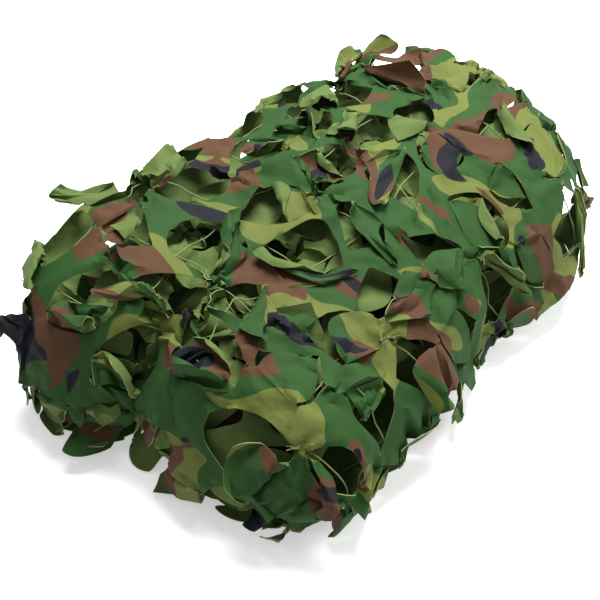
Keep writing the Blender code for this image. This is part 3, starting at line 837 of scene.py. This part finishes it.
# ways a leaf can lie: chance, degrees at the hinge, of curl and of sideways swing, cup, and how far it
# follows the cloth
closedLeaf = ((8, 18), (0, 30), (0, 20), (0.05, 0.30), 1.0)
sunkenLeaf = ((-26, -14), (-6, 12), (0, 10), (0.05, 0.30), 0.8)
leafWays = {
    "shown": (
        (0.18, (8, 18), (0, 30), (0, 10), (0.05, 0.30), 1.0),
        (0.40, (24, 48), (-10, 40), (30, 80), (0.05, 0.35), 0.0),
        (0.18, (95, 145), (10, 50), (0, 35), (0.05, 0.35), 0.0),
        (0.14, (55, 85), (30, 100), (0, 30), (0.05, 0.45), 0.0),
        (0.10, *sunkenLeaf),
    ),
    "side": (
        (0.34, *closedLeaf),
        (0.40, (24, 46), (-10, 60), (20, 60), (0.05, 0.35), 0.2),
        (0.16, (50, 75), (60, 110), (0, 30), (0.05, 0.45), 0.0),
        (0.10, *sunkenLeaf),
    ),
    "near": (
        (0.34, *closedLeaf),
        (0.40, (24, 46), (-10, 60), (20, 70), (0.05, 0.35), 0.2),
        (0.18, (50, 75), (60, 110), (0, 40), (0.05, 0.45), 0.0),
        (0.08, *sunkenLeaf),
    ),
    "end": (
        (0.85, (6, 13), (0, 20), (0, 8), (0.05, 0.25), 1.0),
        (0.15, (20, 36), (-20, 30), (10, 40), (0.05, 0.35), 0.5),
    ),
    "second": (
        (0.25, (4, 10), (0, 12), (0, 10), (0.05, 0.25), 1.0),
        (0.45, (14, 34), (-10, 30), (0, 50), (0.05, 0.30), 0.5),
        (0.30, (-24, -8), (-10, 10), (0, 50), (0.05, 0.30), 0.5),
    ),
    "still": ((1.0, (2, 5), (0, 6), (0, 4), (0.0, 0.05), 1.0),),
    "hidden": (
        (0.5, (4, 10), (0, 12), (0, 10), (0.05, 0.25), 1.0),
        (0.5, (10, 20), (-10, 10), (0, 30), (0.05, 0.30), 0.7),
    ),
    "brim": (
        (0.55, (60, 100), (-20, 50), (0, 40), (0.05, 0.35), 0.0),
        (0.45, (24, 46), (-10, 60), (20, 60), (0.05, 0.35), 0.0),
    ),
    "turned": ((1.0, (4, 10), (-10, 10), (0, 10), (0.05, 0.30), 1.0),),
}

posing = {
    "seed": 31,
    "kinds": {"wrap": "side", "top": "shown", "turnTop": "turned", "second": "second", "turnThird": "turned"},
    "endReach": 0.22,        # beyond this the leaves of the +X end lie closer
    "footHeight": 0.05,
    "brimWidth": 0.07,       # the top layer's leaves this near to its free fold stand up
    "nearReach": -0.21,
    "upReach": 0.15,         # no leaf sinks in beyond this
    "bow": (0.9, 2.2),
    "cupSigns": (1, 1, -0.6),
    "twist": 0.35,
    "wave": 0.18,
    # leaves near the camera that are placed one by one: degrees at the hinge, of curl and of swing
    "byHand": {
        3: (6, -10, 0), 5: (6, -8, 0), 25: (12, 34, 8), 33: (20, 62, 24), 41: (9, 26, -12), 49: (14, 40, 20),
    },
    "byHandConform": 0.6,
}


def leafKind(leaf):
    u, v = leaf.centre
    kind = posing["kinds"].get(leaf.layer, "hidden")
    low = sectionAt(u)[1] < posing["footHeight"]
    if kind in ("shown", "side") and v > posing["endReach"] or kind == "side" and low:
        kind = "end"
    if kind == "shown" and u > layerStart("turnTop") - posing["brimWidth"]:
        kind = "brim"
    if leaf.layer == "top" and v < posing["nearReach"]:
        kind = "near"
    if leaf.layer == "second" and v > settling["stillSecond"]:
        kind = "still"
    return kind


def poseLeaves(leaves):
    draw = random.Random(posing["seed"])
    for index, leaf in enumerate(leaves):
        kind = leafKind(leaf)
        pick = draw.random()
        for chance, hinges, curls, swings, cups, conform in leafWays[kind]:
            pick -= chance
            if pick < 0.0:
                break
        hinge = math.radians(draw.uniform(*hinges))
        curl = math.radians(draw.uniform(*curls))
        if kind in ("shown", "side", "end") and hinge < 0.0 and abs(leaf.centre[1]) > posing["upReach"]:
            hinge, curl = -hinge, abs(curl)
        leaf.pose(-1 if leaf.layer in inwardLayers else 1, hinge, curl, draw.uniform(*posing["bow"]),
                  draw.uniform(*cups) * draw.choice(posing["cupSigns"]),
                  around(draw, posing["twist"]), around(draw, posing["wave"]), conform,
                  draw.uniform(*swings) * draw.choice((-1, 1)))
        if index in posing["byHand"]:
            hinge, curl, leaf.swing = posing["byHand"][index]
            leaf.hinge, leaf.curl = math.radians(hinge), math.radians(curl)
            leaf.conform = posing["byHandConform"]


tongueLook = {
    "seed": 77,
    "start": 0.03,
    "stop": 0.06,
    "width": (0.046, 0.75, 1.1),      # metres, and the least and most share of them
    "length": (0.034, 0.65, 1.15),
    "negLonger": 1.15,
    "onFloor": 0.55,
    "gap": (0.056, 0.08, 0.35),
    "forms": ("round", "blunt", "round", "pointed"),
    "skew": 0.4,
    # degrees at the hinge and of curl
    "hinge": (-38, 30),
    "curl": (-50, 60),
    "floorHinge": (0, 6),
    "floorCurl": (0, 10),
    "turnCurl": (-20, 20),
    "plain": (1.2, 0.1, 0.1, 0.0),    # bow, cup, twist and wave on the floor and in the turns
    "turnConform": 0.4,
    "bow": (0.9, 1.8),
    "cup": 0.3,
    "twist": 0.4,
    "wave": 0.2,
}


def edgeTongues():
    # rounded tongues along the strip's two long edges, each with its own droop
    draw = random.Random(tongueLook["seed"])

    def share(name):
        size, least, most = tongueLook[name]
        return size * draw.uniform(least, most)

    def about(name):
        return around(draw, tongueLook[name])

    def degrees(name):
        return math.radians(draw.uniform(*tongueLook[name]))

    tongues = []
    for sign in (-1, 1):
        u = tongueLook["start"]
        while u < stripLength - tongueLook["stop"]:
            width = share("width")
            length = share("length") * (tongueLook["negLonger"] if sign < 0 else 1.0)
            mid = u + width / 2
            layer = layerOf(mid)
            if layer == "floor":
                length *= tongueLook["onFloor"]
            form = draw.choice(tongueLook["forms"])
            draw.random()      # not used: it keeps the later draws as they are
            place = (mid, edgeAt(mid, sign))
            tongue = Leaf(place, sign * math.pi / 2, length, width / 2, form, about("skew"), (0.0, 0.0))
            tongue.layer, tongue.centre, tongue.sign = layer, place, sign
            hinge, curl = degrees("hinge"), degrees("curl")
            if layer == "floor":
                tongue.pose(-1, degrees("floorHinge"), degrees("floorCurl"), *tongueLook["plain"], 1.0)
            elif layer.startswith("turn"):
                tongue.pose(1, 0.0, degrees("turnCurl"), *tongueLook["plain"], tongueLook["turnConform"])
            else:
                tongue.pose(1, hinge, curl, draw.uniform(*tongueLook["bow"]), about("cup"), about("twist"),
                            about("wave"), 0.0)
            tongues.append(tongue)
            u += width + share("gap")
    return tongues


def edgeAt(u, sign):
    neg, pos = reach(u)
    return neg + cloth["edgeDraw"] if sign < 0 else pos - cloth["edgeDraw"]


def stripOutline(tongues):
    # the strip's outline with its tongues; each tongue keeps its own part as its loop
    step = cloth["edgeStep"]

    def side(sign):
        out = []
        u = 0.0
        for tongue in sorted((t for t in tongues if t.sign == sign), key=lambda t: t.centre[0]):
            loop = tongue.leaf if tongue.leaf[0][0] < tongue.leaf[-1][0] else tongue.leaf[::-1]
            while u < loop[0][0] - step * 0.5:
                out.append((u, edgeAt(u, sign)))
                u += step
            tongue.loop = loop
            out.extend(map(tuple, loop))
            u = loop[-1][0] + step
        while u < stripLength:
            out.append((u, edgeAt(u, sign)))
            u += step
        out.append((stripLength, edgeAt(stripLength, sign)))
        return out

    right = side(1)
    left = side(-1)
    gap = cloth["endStep"]
    first = np.arange(left[0][1] + gap, right[0][1] - gap / 2, gap)
    last = np.arange(left[-1][1] + gap, right[-1][1] - gap / 2, gap)
    (firstSize, firstTurns), (lastSize, lastTurns) = cloth["endWaves"]
    points = [(firstSize * math.sin(firstTurns * v), v) for v in first]
    points += right
    points += [(stripLength - lastSize - lastSize * math.sin(lastTurns * v), v) for v in last[::-1]]
    return points + left[::-1]


def flatPattern(leaves, tongues):
    # the flat mesh: its points, its faces, and the leaf or tongue that each face belongs to
    verts = []
    faces = []
    marks = []

    def ring(points, mark):
        points = np.array(points)
        after = np.roll(points, -1, axis=0)
        if (points[:, 0] * after[:, 1] - points[:, 1] * after[:, 0]).sum() < 0.0:
            points = points[::-1]
        first = len(verts)
        verts.extend(map(tuple, points))
        faces.append(list(range(first, first + len(points))))
        marks.append(mark)

    ring(stripOutline(tongues), ("strip", 0))
    for index, leaf in enumerate(leaves):
        ring(leaf.leaf, ("leaf", index))
        ring(np.vstack([leaf.rim, leaf.leaf[::-1]]), ("kerf", index))
    for index, tongue in enumerate(tongues):
        ring(tongue.loop, ("tongue", index))
    tree = flatTree(verts)
    u = cloth["firstRow"]
    count = 0
    while u < stripLength:
        grain = layerSize(layerOf(u), "grain")
        neg, pos = reach(u)
        v = neg - cloth["overhang"] + (count % 2) * grain * 0.5
        while v < pos + cloth["overhang"]:
            if tree.find((u, v, 0.0))[2] > grain * cloth["clearance"]:
                verts.append((u, v))
            v += grain
        u += grain * cloth["rowHeight"]
        count += 1
    out = delaunay_2d_cdt([Vector(v) for v in verts], [], faces, 0, 1e-6, True)
    flat = np.array([tuple(v) for v in out[0]])
    keep = []
    owner = []
    for face, source in zip(out[2], out[5]):
        kinds = [marks[k] for k in source]
        names = [k[0] for k in kinds]
        if "strip" in names and "kerf" not in names:
            keep.append(face[::-1])
            owner.append(next((k for k in kinds if k[0] in ("leaf", "tongue")), None))
    used = np.unique(np.array(keep))
    remap = np.full(len(flat), -1)
    remap[used] = np.arange(len(used))
    return flat[used], remap[np.array(keep)], owner


def flatTree(points):
    tree = kdtree.KDTree(len(points))
    for index, (u, v) in enumerate(points):
        tree.insert((u, v, 0.0), index)
    tree.balance()
    return tree


lips = {
    "seed": 88,
    "size": 0.008,
    "near": 0.06,
    "still": ("floor", "turnSecond", "turnThird"),
    "sidePlace": (0.6, 0.42, 1.1, 0.35),      # middle and spread along the leaf, then across it
    "tipPlace": (1.08, 0.22, 0.7),            # middle and spread along the leaf, spread across it
}


def lipRise(flat, leaves):
    # one lip of each opening stands a little proud and the other sinks, so that the slit gapes
    draw = random.Random(lips["seed"])
    rise = np.zeros(len(flat))
    middleP, spreadP, middleQ, spreadQ = lips["sidePlace"]
    tipP, tipSpreadP, tipSpreadQ = lips["tipPlace"]
    for leaf in leaves:
        amounts = [around(draw, lips["size"]) for _ in range(3)]
        local = flat - leaf.base
        near = np.where(np.abs(local - leaf.along * leaf.length / 2).max(axis=1) < lips["near"])[0]
        if leaf.layer in lips["still"] or not len(near):
            continue
        p = local[near] @ leaf.along
        q = local[near] @ leaf.across
        wide = spreadQ * leaf.half
        middle = np.exp(-((p - middleP * leaf.length) / (spreadP * leaf.length)) ** 2)
        for sign, amount in zip((-1, 1), amounts):
            rise[near] += amount * middle * np.exp(-((q - sign * leaf.half * middleQ) / wide) ** 2)
        along = (p - leaf.length * tipP) / (tipSpreadP * leaf.length)
        rise[near] += amounts[2] * np.exp(-along ** 2 - (q / (tipSpreadQ * leaf.half)) ** 2)
    return rise


# the shown layers settle under their own weight between their ties
settling = {
    "frames": 24,
    "rules": {
        "quality": 6, "mass": 0.12, "air_damping": 2.0, "bending_stiffness": 2.5,
        "tension_stiffness": 12.0, "compression_stiffness": 12.0, "shear_stiffness": 6.0,
    },
    "friction": 20.0,
    "selfFriction": 8.0,
    "apart": (0.0015, 0.0012),       # from the colliders and from itself
    "past": (0.015, 0.01),           # starts before the round side, ends before the turn to the third layer
    "heldEnds": (0.03, 0.02),
    "slackMost": 0.45,
    "slackLeast": 0.7,       # share of the layer's slack
    "slackLeaf": 0.02,
    # the firm stack under the cloth: steps across, step along, margin, skin, and how far it runs past
    "firm": (50, 0.010, 0.02, 0.0015, 0.02, 0.01),
    "floorSkin": 0.001,
    "underSecond": 0.005,
    "relief": 0.006,
    # the most that leaves and cloth may move, also near the floor
    "leafCap": 0.070,
    "clothCap": 0.022,
    "footHeight": 0.045,
    "footCap": 0.009,
    # the leaves of the hanging end at +X stay closed, and two at the foot of the round side
    "stillSecond": 0.16,
    "stillFrom": 0.03,
    "stillTop": 0.22,
    "stillCap": (0.003, 0.008),
    "shutLeaves": (3, 6),
    # room past the CAD box along x, y and z, and how far inside it the soft stop begins
    "room": (0.026, 0.020, 0.012),
    "roomStart": 0.004,
}
tiny = 1e-9


def nearestTie(u, v):
    # the tie nearest to each flat point, and how far it is
    pitch = ties["pitch"]
    best = None
    for cellShift in (0, 1, -1):
        cell = np.floor(u / pitch + 0.5) + cellShift
        half = 0.5 * (cell % 2)
        tieU = cell * pitch
        tieV = (np.floor(v / pitch + half + 0.5) - half) * pitch
        found = (tieU, tieV, np.hypot(u - tieU, v - tieV))
        if best is None:
            best = found
        else:
            closer = found[2] < best[2]
            best = [np.where(closer, new, old) for new, old in zip(found, best)]
    return best


def gathered(flat, places):
    # the cloth drawn together round its ties
    tieU, tieV, far = nearestTie(flat[:, 0], flat[:, 1])
    centre = clothPoint(tieU, tieV)
    least, more = ties["drawShare"]
    share = least + more * ramp(far, 0.0, ties["draw"])
    tied = (flat[:, 0] > layerStart("wrap") + ties["margin"]) & (flat[:, 0] < layerStart("turnTop"))
    share = np.where((far < ties["draw"]) & tied, share, 1.0)
    return centre + (places - centre) * share[:, None]


def addCollider(name, places, faces, skin):
    solid = addMesh(name, places, faces)
    solid.modifiers.new("collision", "COLLISION")
    solid.collision.thickness_outer = skin
    solid.collision.cloth_friction = settling["friction"]
    solid.collision.use_culling = False
    return solid


def firmSheet(name, low, high, rise):
    # a smooth sheet on the fold's own layers, under the cloth
    across, step, margin, skin = settling["firm"][:4]
    us = np.arange(low, high, step)
    grid = []
    for place in us:
        neg, pos = reach(place)
        wide = pos - neg - 2 * margin
        grid += [(place, neg + margin + wide * k / across) for k in range(across + 1)]
    grid = np.array(grid)
    y, z, ty, tz = sectionAt(grid[:, 0])
    deep = rise - byLayer(grid[:, 0], "cushion")
    deep = deep + settling["relief"] * folded(grid[:, 0], grid[:, 1], "longFold")
    under = settle(grid[:, 1], y - tz * deep, z + ty * deep)
    wide = across + 1
    quads = [(i * wide + j, i * wide + j + 1, (i + 1) * wide + j + 1, (i + 1) * wide + j)
             for i in range(len(us) - 1) for j in range(across)]
    return addCollider(name, under, quads, skin)


def neededSlack(rest, flat, corners):
    # share by which each bit of cloth grows back to its length in the flat pattern, and a little more
    ends = np.concatenate([corners[:, (0, 1)], corners[:, (1, 2)], corners[:, (2, 0)]])
    now = np.linalg.norm(rest[ends[:, 0]] - rest[ends[:, 1]], axis=1)
    true = np.linalg.norm(flat[ends[:, 0]] - flat[ends[:, 1]], axis=1)
    total = np.zeros((2, len(rest)))
    for k in (0, 1):
        np.add.at(total[0], ends[:, k], now)
        np.add.at(total[1], ends[:, k], true)
    slack = byLayer(flat[:, 0], "slack")
    grow = total[1] / np.maximum(total[0], tiny) * (1.0 + slack) - 1.0
    return np.clip(grow, slack * settling["slackLeast"], settling["slackMost"])


def clothRules(soft, restKey):
    drapery = soft.modifiers.new("drape", "CLOTH")
    rule = drapery.settings
    for key, value in settling["rules"].items():
        setattr(rule, key, value)
    rule.rest_shape_key = restKey
    rule.vertex_group_shrink = "slack"
    rule.shrink_min = -settling["slackMost"]
    rule.shrink_max = 0.0
    rule.vertex_group_mass = "held"
    hits = drapery.collision_settings
    hits.distance_min, hits.self_distance_min = settling["apart"]
    hits.use_self_collision = True
    hits.self_friction = settling["selfFriction"]
    drapery.point_cache.frame_start = 1
    drapery.point_cache.frame_end = settling["frames"]


def settleCloth(places, rest, faces, flat, inLeaf, shut):
    before, after = settling["past"]
    low, high = layerStart("wrap") - before, layerStart("turnSecond") - after
    part = np.where((flat[:, 0] > low) & (flat[:, 0] < high))[0]
    local = np.full(len(flat), -1)
    local[part] = np.arange(len(part))
    some = local[faces]
    some = some[(some >= 0).all(axis=1)]
    start, leafPart = places[part], inLeaf[part]
    soft = addMesh("settling", start, some.tolist())
    soft.shape_key_add(name="start")
    restKey = soft.shape_key_add(name="rest")
    restKey.data.foreach_set("co", rest[part].astype(np.float32).ravel())
    u, v = flat[part, 0], flat[part, 1]
    atTie = (nearestTie(u, v)[2] < ties["spot"]) & ~leafPart
    held = (u < low + settling["heldEnds"][0]) | (u > high - settling["heldEnds"][1]) | atTie
    soft.vertex_groups.new(name="held").add([int(k) for k in np.where(held)[0]], 1.0, "REPLACE")
    slack = np.where(leafPart, settling["slackLeaf"], neededSlack(rest[part], flat[part], some))
    slackGroup = soft.vertex_groups.new(name="slack")
    for index, amount in enumerate(slack):
        slackGroup.add([index], float(1.0 - amount / settling["slackMost"]), "REPLACE")
    past, pastTop = settling["firm"][4:]
    deep = settling["underSecond"] + layerSize("second", "rise")
    square = [(-1, -1, 0), (1, -1, 0), (1, 1, 0), (-1, 1, 0)]
    colliders = [
        firmSheet("firm_stack", low - past, layerStart("turnTop") + pastTop, 0.0),
        firmSheet("firm_second", layerStart("second"), high + past, deep),
        addCollider("firm_floor", square, [(0, 1, 2, 3)], settling["floorSkin"]),
    ]
    clothRules(soft, restKey)
    stage = bpy.context.scene
    for frameNow in range(1, settling["frames"] + 1):
        stage.frame_set(frameNow)
    found = soft.evaluated_get(bpy.context.evaluated_depsgraph_get()).to_mesh()
    rested = np.zeros(len(part) * 3)
    found.vertices.foreach_get("co", rested)
    stage.frame_set(1)
    for item in (soft, *colliders):
        bpy.data.objects.remove(item, do_unlink=True)
    move = rested.reshape(-1, 3) - start
    size = np.linalg.norm(move, axis=1)
    print("cloth settled: mean move", round(float(size.mean()), 4), "most", round(float(size.max()), 4))
    # moves are capped, most of all near the floor and in the end that hangs
    stillCap, stillTopCap = settling["stillCap"]
    cap = np.where(leafPart, settling["leafCap"], settling["clothCap"])
    cap = np.where(start[:, 2] < settling["footHeight"], np.minimum(cap, settling["footCap"]), cap)
    inner = (v > settling["stillSecond"]) & (u > layerStart("second") - settling["stillFrom"])
    cap = np.where(inner, stillCap, cap)
    cap = np.where((v > settling["stillTop"]) & leafPart & ~inner, stillTopCap, cap)
    cap = np.where(shut[part], stillCap, cap)
    places[part] += move * np.minimum(1.0, cap / np.maximum(size, tiny))[:, None]
    return places


def keptIn(places):
    # flaps that hang too far out are pressed back softly
    low, high = (np.array(corner) for corner in cadBox)
    for axis, room in enumerate(settling["room"]):
        for sign, edge in ((1.0, high[axis]), (-1.0, -low[axis])):
            if axis == 2 and sign < 0:
                continue
            over = np.maximum(sign * places[:, axis] - edge + settling["roomStart"], 0.0)
            places[:, axis] -= sign * (over - room * np.tanh(over / room))
    return places


def aboveGround(places):
    places[:, 2] = np.maximum(places[:, 2], loaf["shift"][2])
    return places


def makeSheet(name, places, faces, flat, materials):
    piece = addMesh(name, places, faces)
    mesh = piece.data
    layer = mesh.uv_layers.new(name="flat")
    loops = np.zeros(len(mesh.loops), np.int32)
    mesh.loops.foreach_get("vertex_index", loops)
    layer.data.foreach_set("uv", flat[loops].astype(np.float32).ravel())
    for material in materials:
        mesh.materials.append(material)
    shell = piece.modifiers.new("thickness", "SOLIDIFY")
    shell.thickness = cloth["thick"]
    shell.offset = 0.0
    shell.use_rim = True
    shell.material_offset = 1
    shell.material_offset_rim = 2
    makeActive(piece)
    bpy.ops.object.modifier_apply(modifier="thickness")
    bpy.ops.object.shade_smooth_by_angle(angle=math.radians(cloth["smooth"]))
    return piece


def makeCloth():
    leaves = leafSlits()
    extraSlits(leaves)
    poseLeaves(leaves)
    tongues = edgeTongues()
    flat, faces, owner = flatPattern(leaves, tongues)
    print("pattern cut:", len(leaves), "leaves,", len(tongues), "tongues,", len(faces), "faces")
    places = aboveGround(clothPoint(flat[:, 0], flat[:, 1], lipRise(flat, leaves)))
    rest = places.copy()
    members = {}
    for face, mine in zip(faces, owner):
        if mine is not None:
            members.setdefault(mine, set()).update(int(k) for k in face)
    inLeaf = np.zeros(len(flat), bool)
    shut = np.zeros(len(flat), bool)
    for (kind, index), rows in members.items():
        leaf = leaves[index] if kind == "leaf" else tongues[index]
        rows = np.array(sorted(rows))
        inLeaf[rows] = True
        if kind == "leaf" and index in settling["shutLeaves"]:
            shut[rows] = True
        leaf.hang(flat, places, rows)
        rest[rows] = leaf.lifted(flat[rows], 0.0)
        places[rows] = leaf.lifted(flat[rows], leaf.swing)
    places = aboveGround(gathered(flat, places))
    places = settleCloth(places, rest, faces, flat, inLeaf, shut)
    places = aboveGround(keptIn(places))
    corner = flat[faces]
    sides = corner[:, 1] - corner[:, 0], corner[:, 2] - corner[:, 0]
    area = float(np.abs(sides[0][:, 0] * sides[1][:, 1] - sides[0][:, 1] * sides[1][:, 0]).sum() / 2)
    width = float(flat[:, 1].max() - flat[:, 1].min())
    looks = (frontMaterial(), plainMaterial("plain_reverse", flatPlace, True),
             plainMaterial("cut_edge", flatPlace, False))
    piece = makeSheet("camouflage_cloth", places, faces.tolist(), flat, looks)
    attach(piece, "root")
    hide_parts("net_cloth")
    print("cloth made:", len(piece.data.polygons), "faces, flat", round(width, 3), "by",
          round(stripLength, 3), "area", round(area, 3))
    return piece, width, area, (flat[~inLeaf], places[~inLeaf])


strings = {
    "seed": 14,
    "pitch": (0.086, 0.072),
    "columns": 7,
    "start": 0.020,
    "under": 0.0030,
    "deeper": (-0.001, 0.003),
    "radius": 0.00065,
    "uneven": 0.009,
    "steps": 10,
    "sag": (0.001, 0.006),
    "sway": 0.006,
    # points of the settled cloth that a string follows, and metres that soften their weights
    "follow": (8, 0.004),
    # short ends of thread at the ties
    "tuftThreads": 7,
    "tuftSteps": 5,
    "tuftHeight": 0.004,
    "tuftSpread": 0.011,
    "tuftRise": (-0.1, 0.3),
    "tuftDroop": (-0.5, 0.4),      # downwards, and share of the spread
    "tuftThin": 0.55,
    "tuftColumns": 3,
}


def makeStrings(settled):
    # the knotted string mesh that the cloth is tied to, just under its top layer
    flat, places = settled
    near = flatTree(flat)
    draw = random.Random(strings["seed"])
    data = bpy.data.curves.new("mesh_strings", "CURVE")
    data.dimensions = "3D"
    data.bevel_depth = strings["radius"]
    data.bevel_resolution = 1
    data.use_fill_caps = True

    def under(u, v, deep):
        # so deep under the smooth fold, moved as the cloth there has moved
        count, soft = strings["follow"]
        total = np.zeros(3)
        weight = 0.0
        for _, index, far in near.find_n((u, v, 0.0), count):
            share = 1.0 / (soft + far)
            total += (places[index] - clothPoint(flat[index][0], flat[index][1])) * share
            weight += share
        return clothPoint(u, v, -deep) + total / weight

    def line(points, thin=1.0):
        spline = data.splines.new("POLY")
        spline.points.add(len(points) - 1)
        for point, at in zip(spline.points, points):
            point.co = (*at, 1.0)
            point.radius = thin

    def strand(a, b):
        sag = draw.uniform(*strings["sag"])
        sway = around(draw, strings["sway"])
        across = abs(b[1] - a[1]) > abs(b[0] - a[0])
        points = []
        for k in range(strings["steps"] + 1):
            t = k / strings["steps"]
            hump = math.sin(math.pi * t)
            u = a[0] + (b[0] - a[0]) * t + (sway * hump if across else 0.0)
            v = a[1] + (b[1] - a[1]) * t + (0.0 if across else sway * hump)
            points.append(under(u, v, a[2] + (b[2] - a[2]) * t + sag * hump))
        line(points)

    def tuft(u, v):
        root = under(u, v, strings["under"])
        top = under(u, v, -strings["tuftHeight"])
        steps, spread = strings["tuftSteps"], strings["tuftSpread"]
        down, part = strings["tuftDroop"]
        for _ in range(strings["tuftThreads"]):
            lean = np.array([around(draw, 1), around(draw, 1), draw.uniform(*strings["tuftRise"])]) * spread
            droop = np.array([around(draw, 1), around(draw, 1), down]) * spread * part
            shares = [k / steps for k in range(steps + 1)]
            line([root + (top - root) * min(1.0, 2.0 * t) + lean * t + droop * t * t for t in shares],
                 strings["tuftThin"])

    start = layerStart("wrap") + strings["start"]
    pitchU, pitchV = strings["pitch"]
    rows = int((layerStart("turnTop") - start) / pitchU) + 1
    columns = strings["columns"]
    knots = {}
    for i in range(rows):
        for j in range(columns):
            u = start + i * pitchU + strings["uneven"] * around(draw, 1)
            v = (j - (columns - 1) / 2) * pitchV + strings["uneven"] * around(draw, 1)
            knots[i, j] = (u, v, strings["under"] + draw.uniform(*strings["deeper"]))
    for i in range(rows):
        for j in range(columns):
            if i + 1 < rows:
                strand(knots[i, j], knots[i + 1, j])
            if j + 1 < columns:
                strand(knots[i, j], knots[i, j + 1])
    pitch, margin = ties["pitch"], ties["margin"]
    for i in range(int(layerStart("wrap") / pitch), int(layerStart("turnTop") / pitch) + 1):
        for j in range(-strings["tuftColumns"], strings["tuftColumns"] + 1):
            u, v = i * pitch, (j - 0.5 * (i % 2)) * pitch
            low, high = reach(u)
            if u >= layerStart("wrap") + margin and low + margin < v < high - margin:
                tuft(u, v)
    makeActive(addObject("mesh_strings", data))
    bpy.ops.object.convert(target="MESH")
    piece = bpy.context.view_layer.objects.active
    piece.name = "mesh_strings"
    piece.data.materials.clear()
    piece.data.materials.append(plainMaterial("mesh_string", objectPlace, False))
    bpy.ops.object.shade_smooth()
    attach(piece, "root")
    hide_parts("mesh_cords")
    print("strings made:", len(piece.data.polygons), "faces")
    return piece


def makeFloor():
    bpy.ops.object.select_all(action="DESELECT")
    bpy.ops.mesh.primitive_plane_add(size=studio["floorSize"], location=(0.0, 0.0, 0.0))
    floor = bpy.context.object
    floor.name = "studio_floor"
    material, shader, wire = newMaterial("pale_floor", *studio["floorRough"])
    shader.inputs["Base Color"].default_value = studio["floorColour"]
    shader.inputs["Emission Color"].default_value = studio["white"]
    shader.inputs["Emission Strength"].default_value = studio["floorGlow"]
    floor.data.materials.append(material)


def makeLight():
    world = bpy.data.worlds.new("pale_room")
    world.use_nodes = True
    background = world.node_tree.nodes["Background"]
    background.inputs["Color"].default_value = studio["white"]
    background.inputs["Strength"].default_value = studio["sky"]
    bpy.context.scene.world = world
    bpy.context.scene.view_settings.view_transform = "Standard"
    for row in studio["lights"]:
        addSoftLight(*row)


addCamera()
makeLight()
makeFloor()
print("stage and camera ready")
clothPiece, clothWidth, clothArea, settled = makeCloth()
stringPiece = makeStrings(settled)
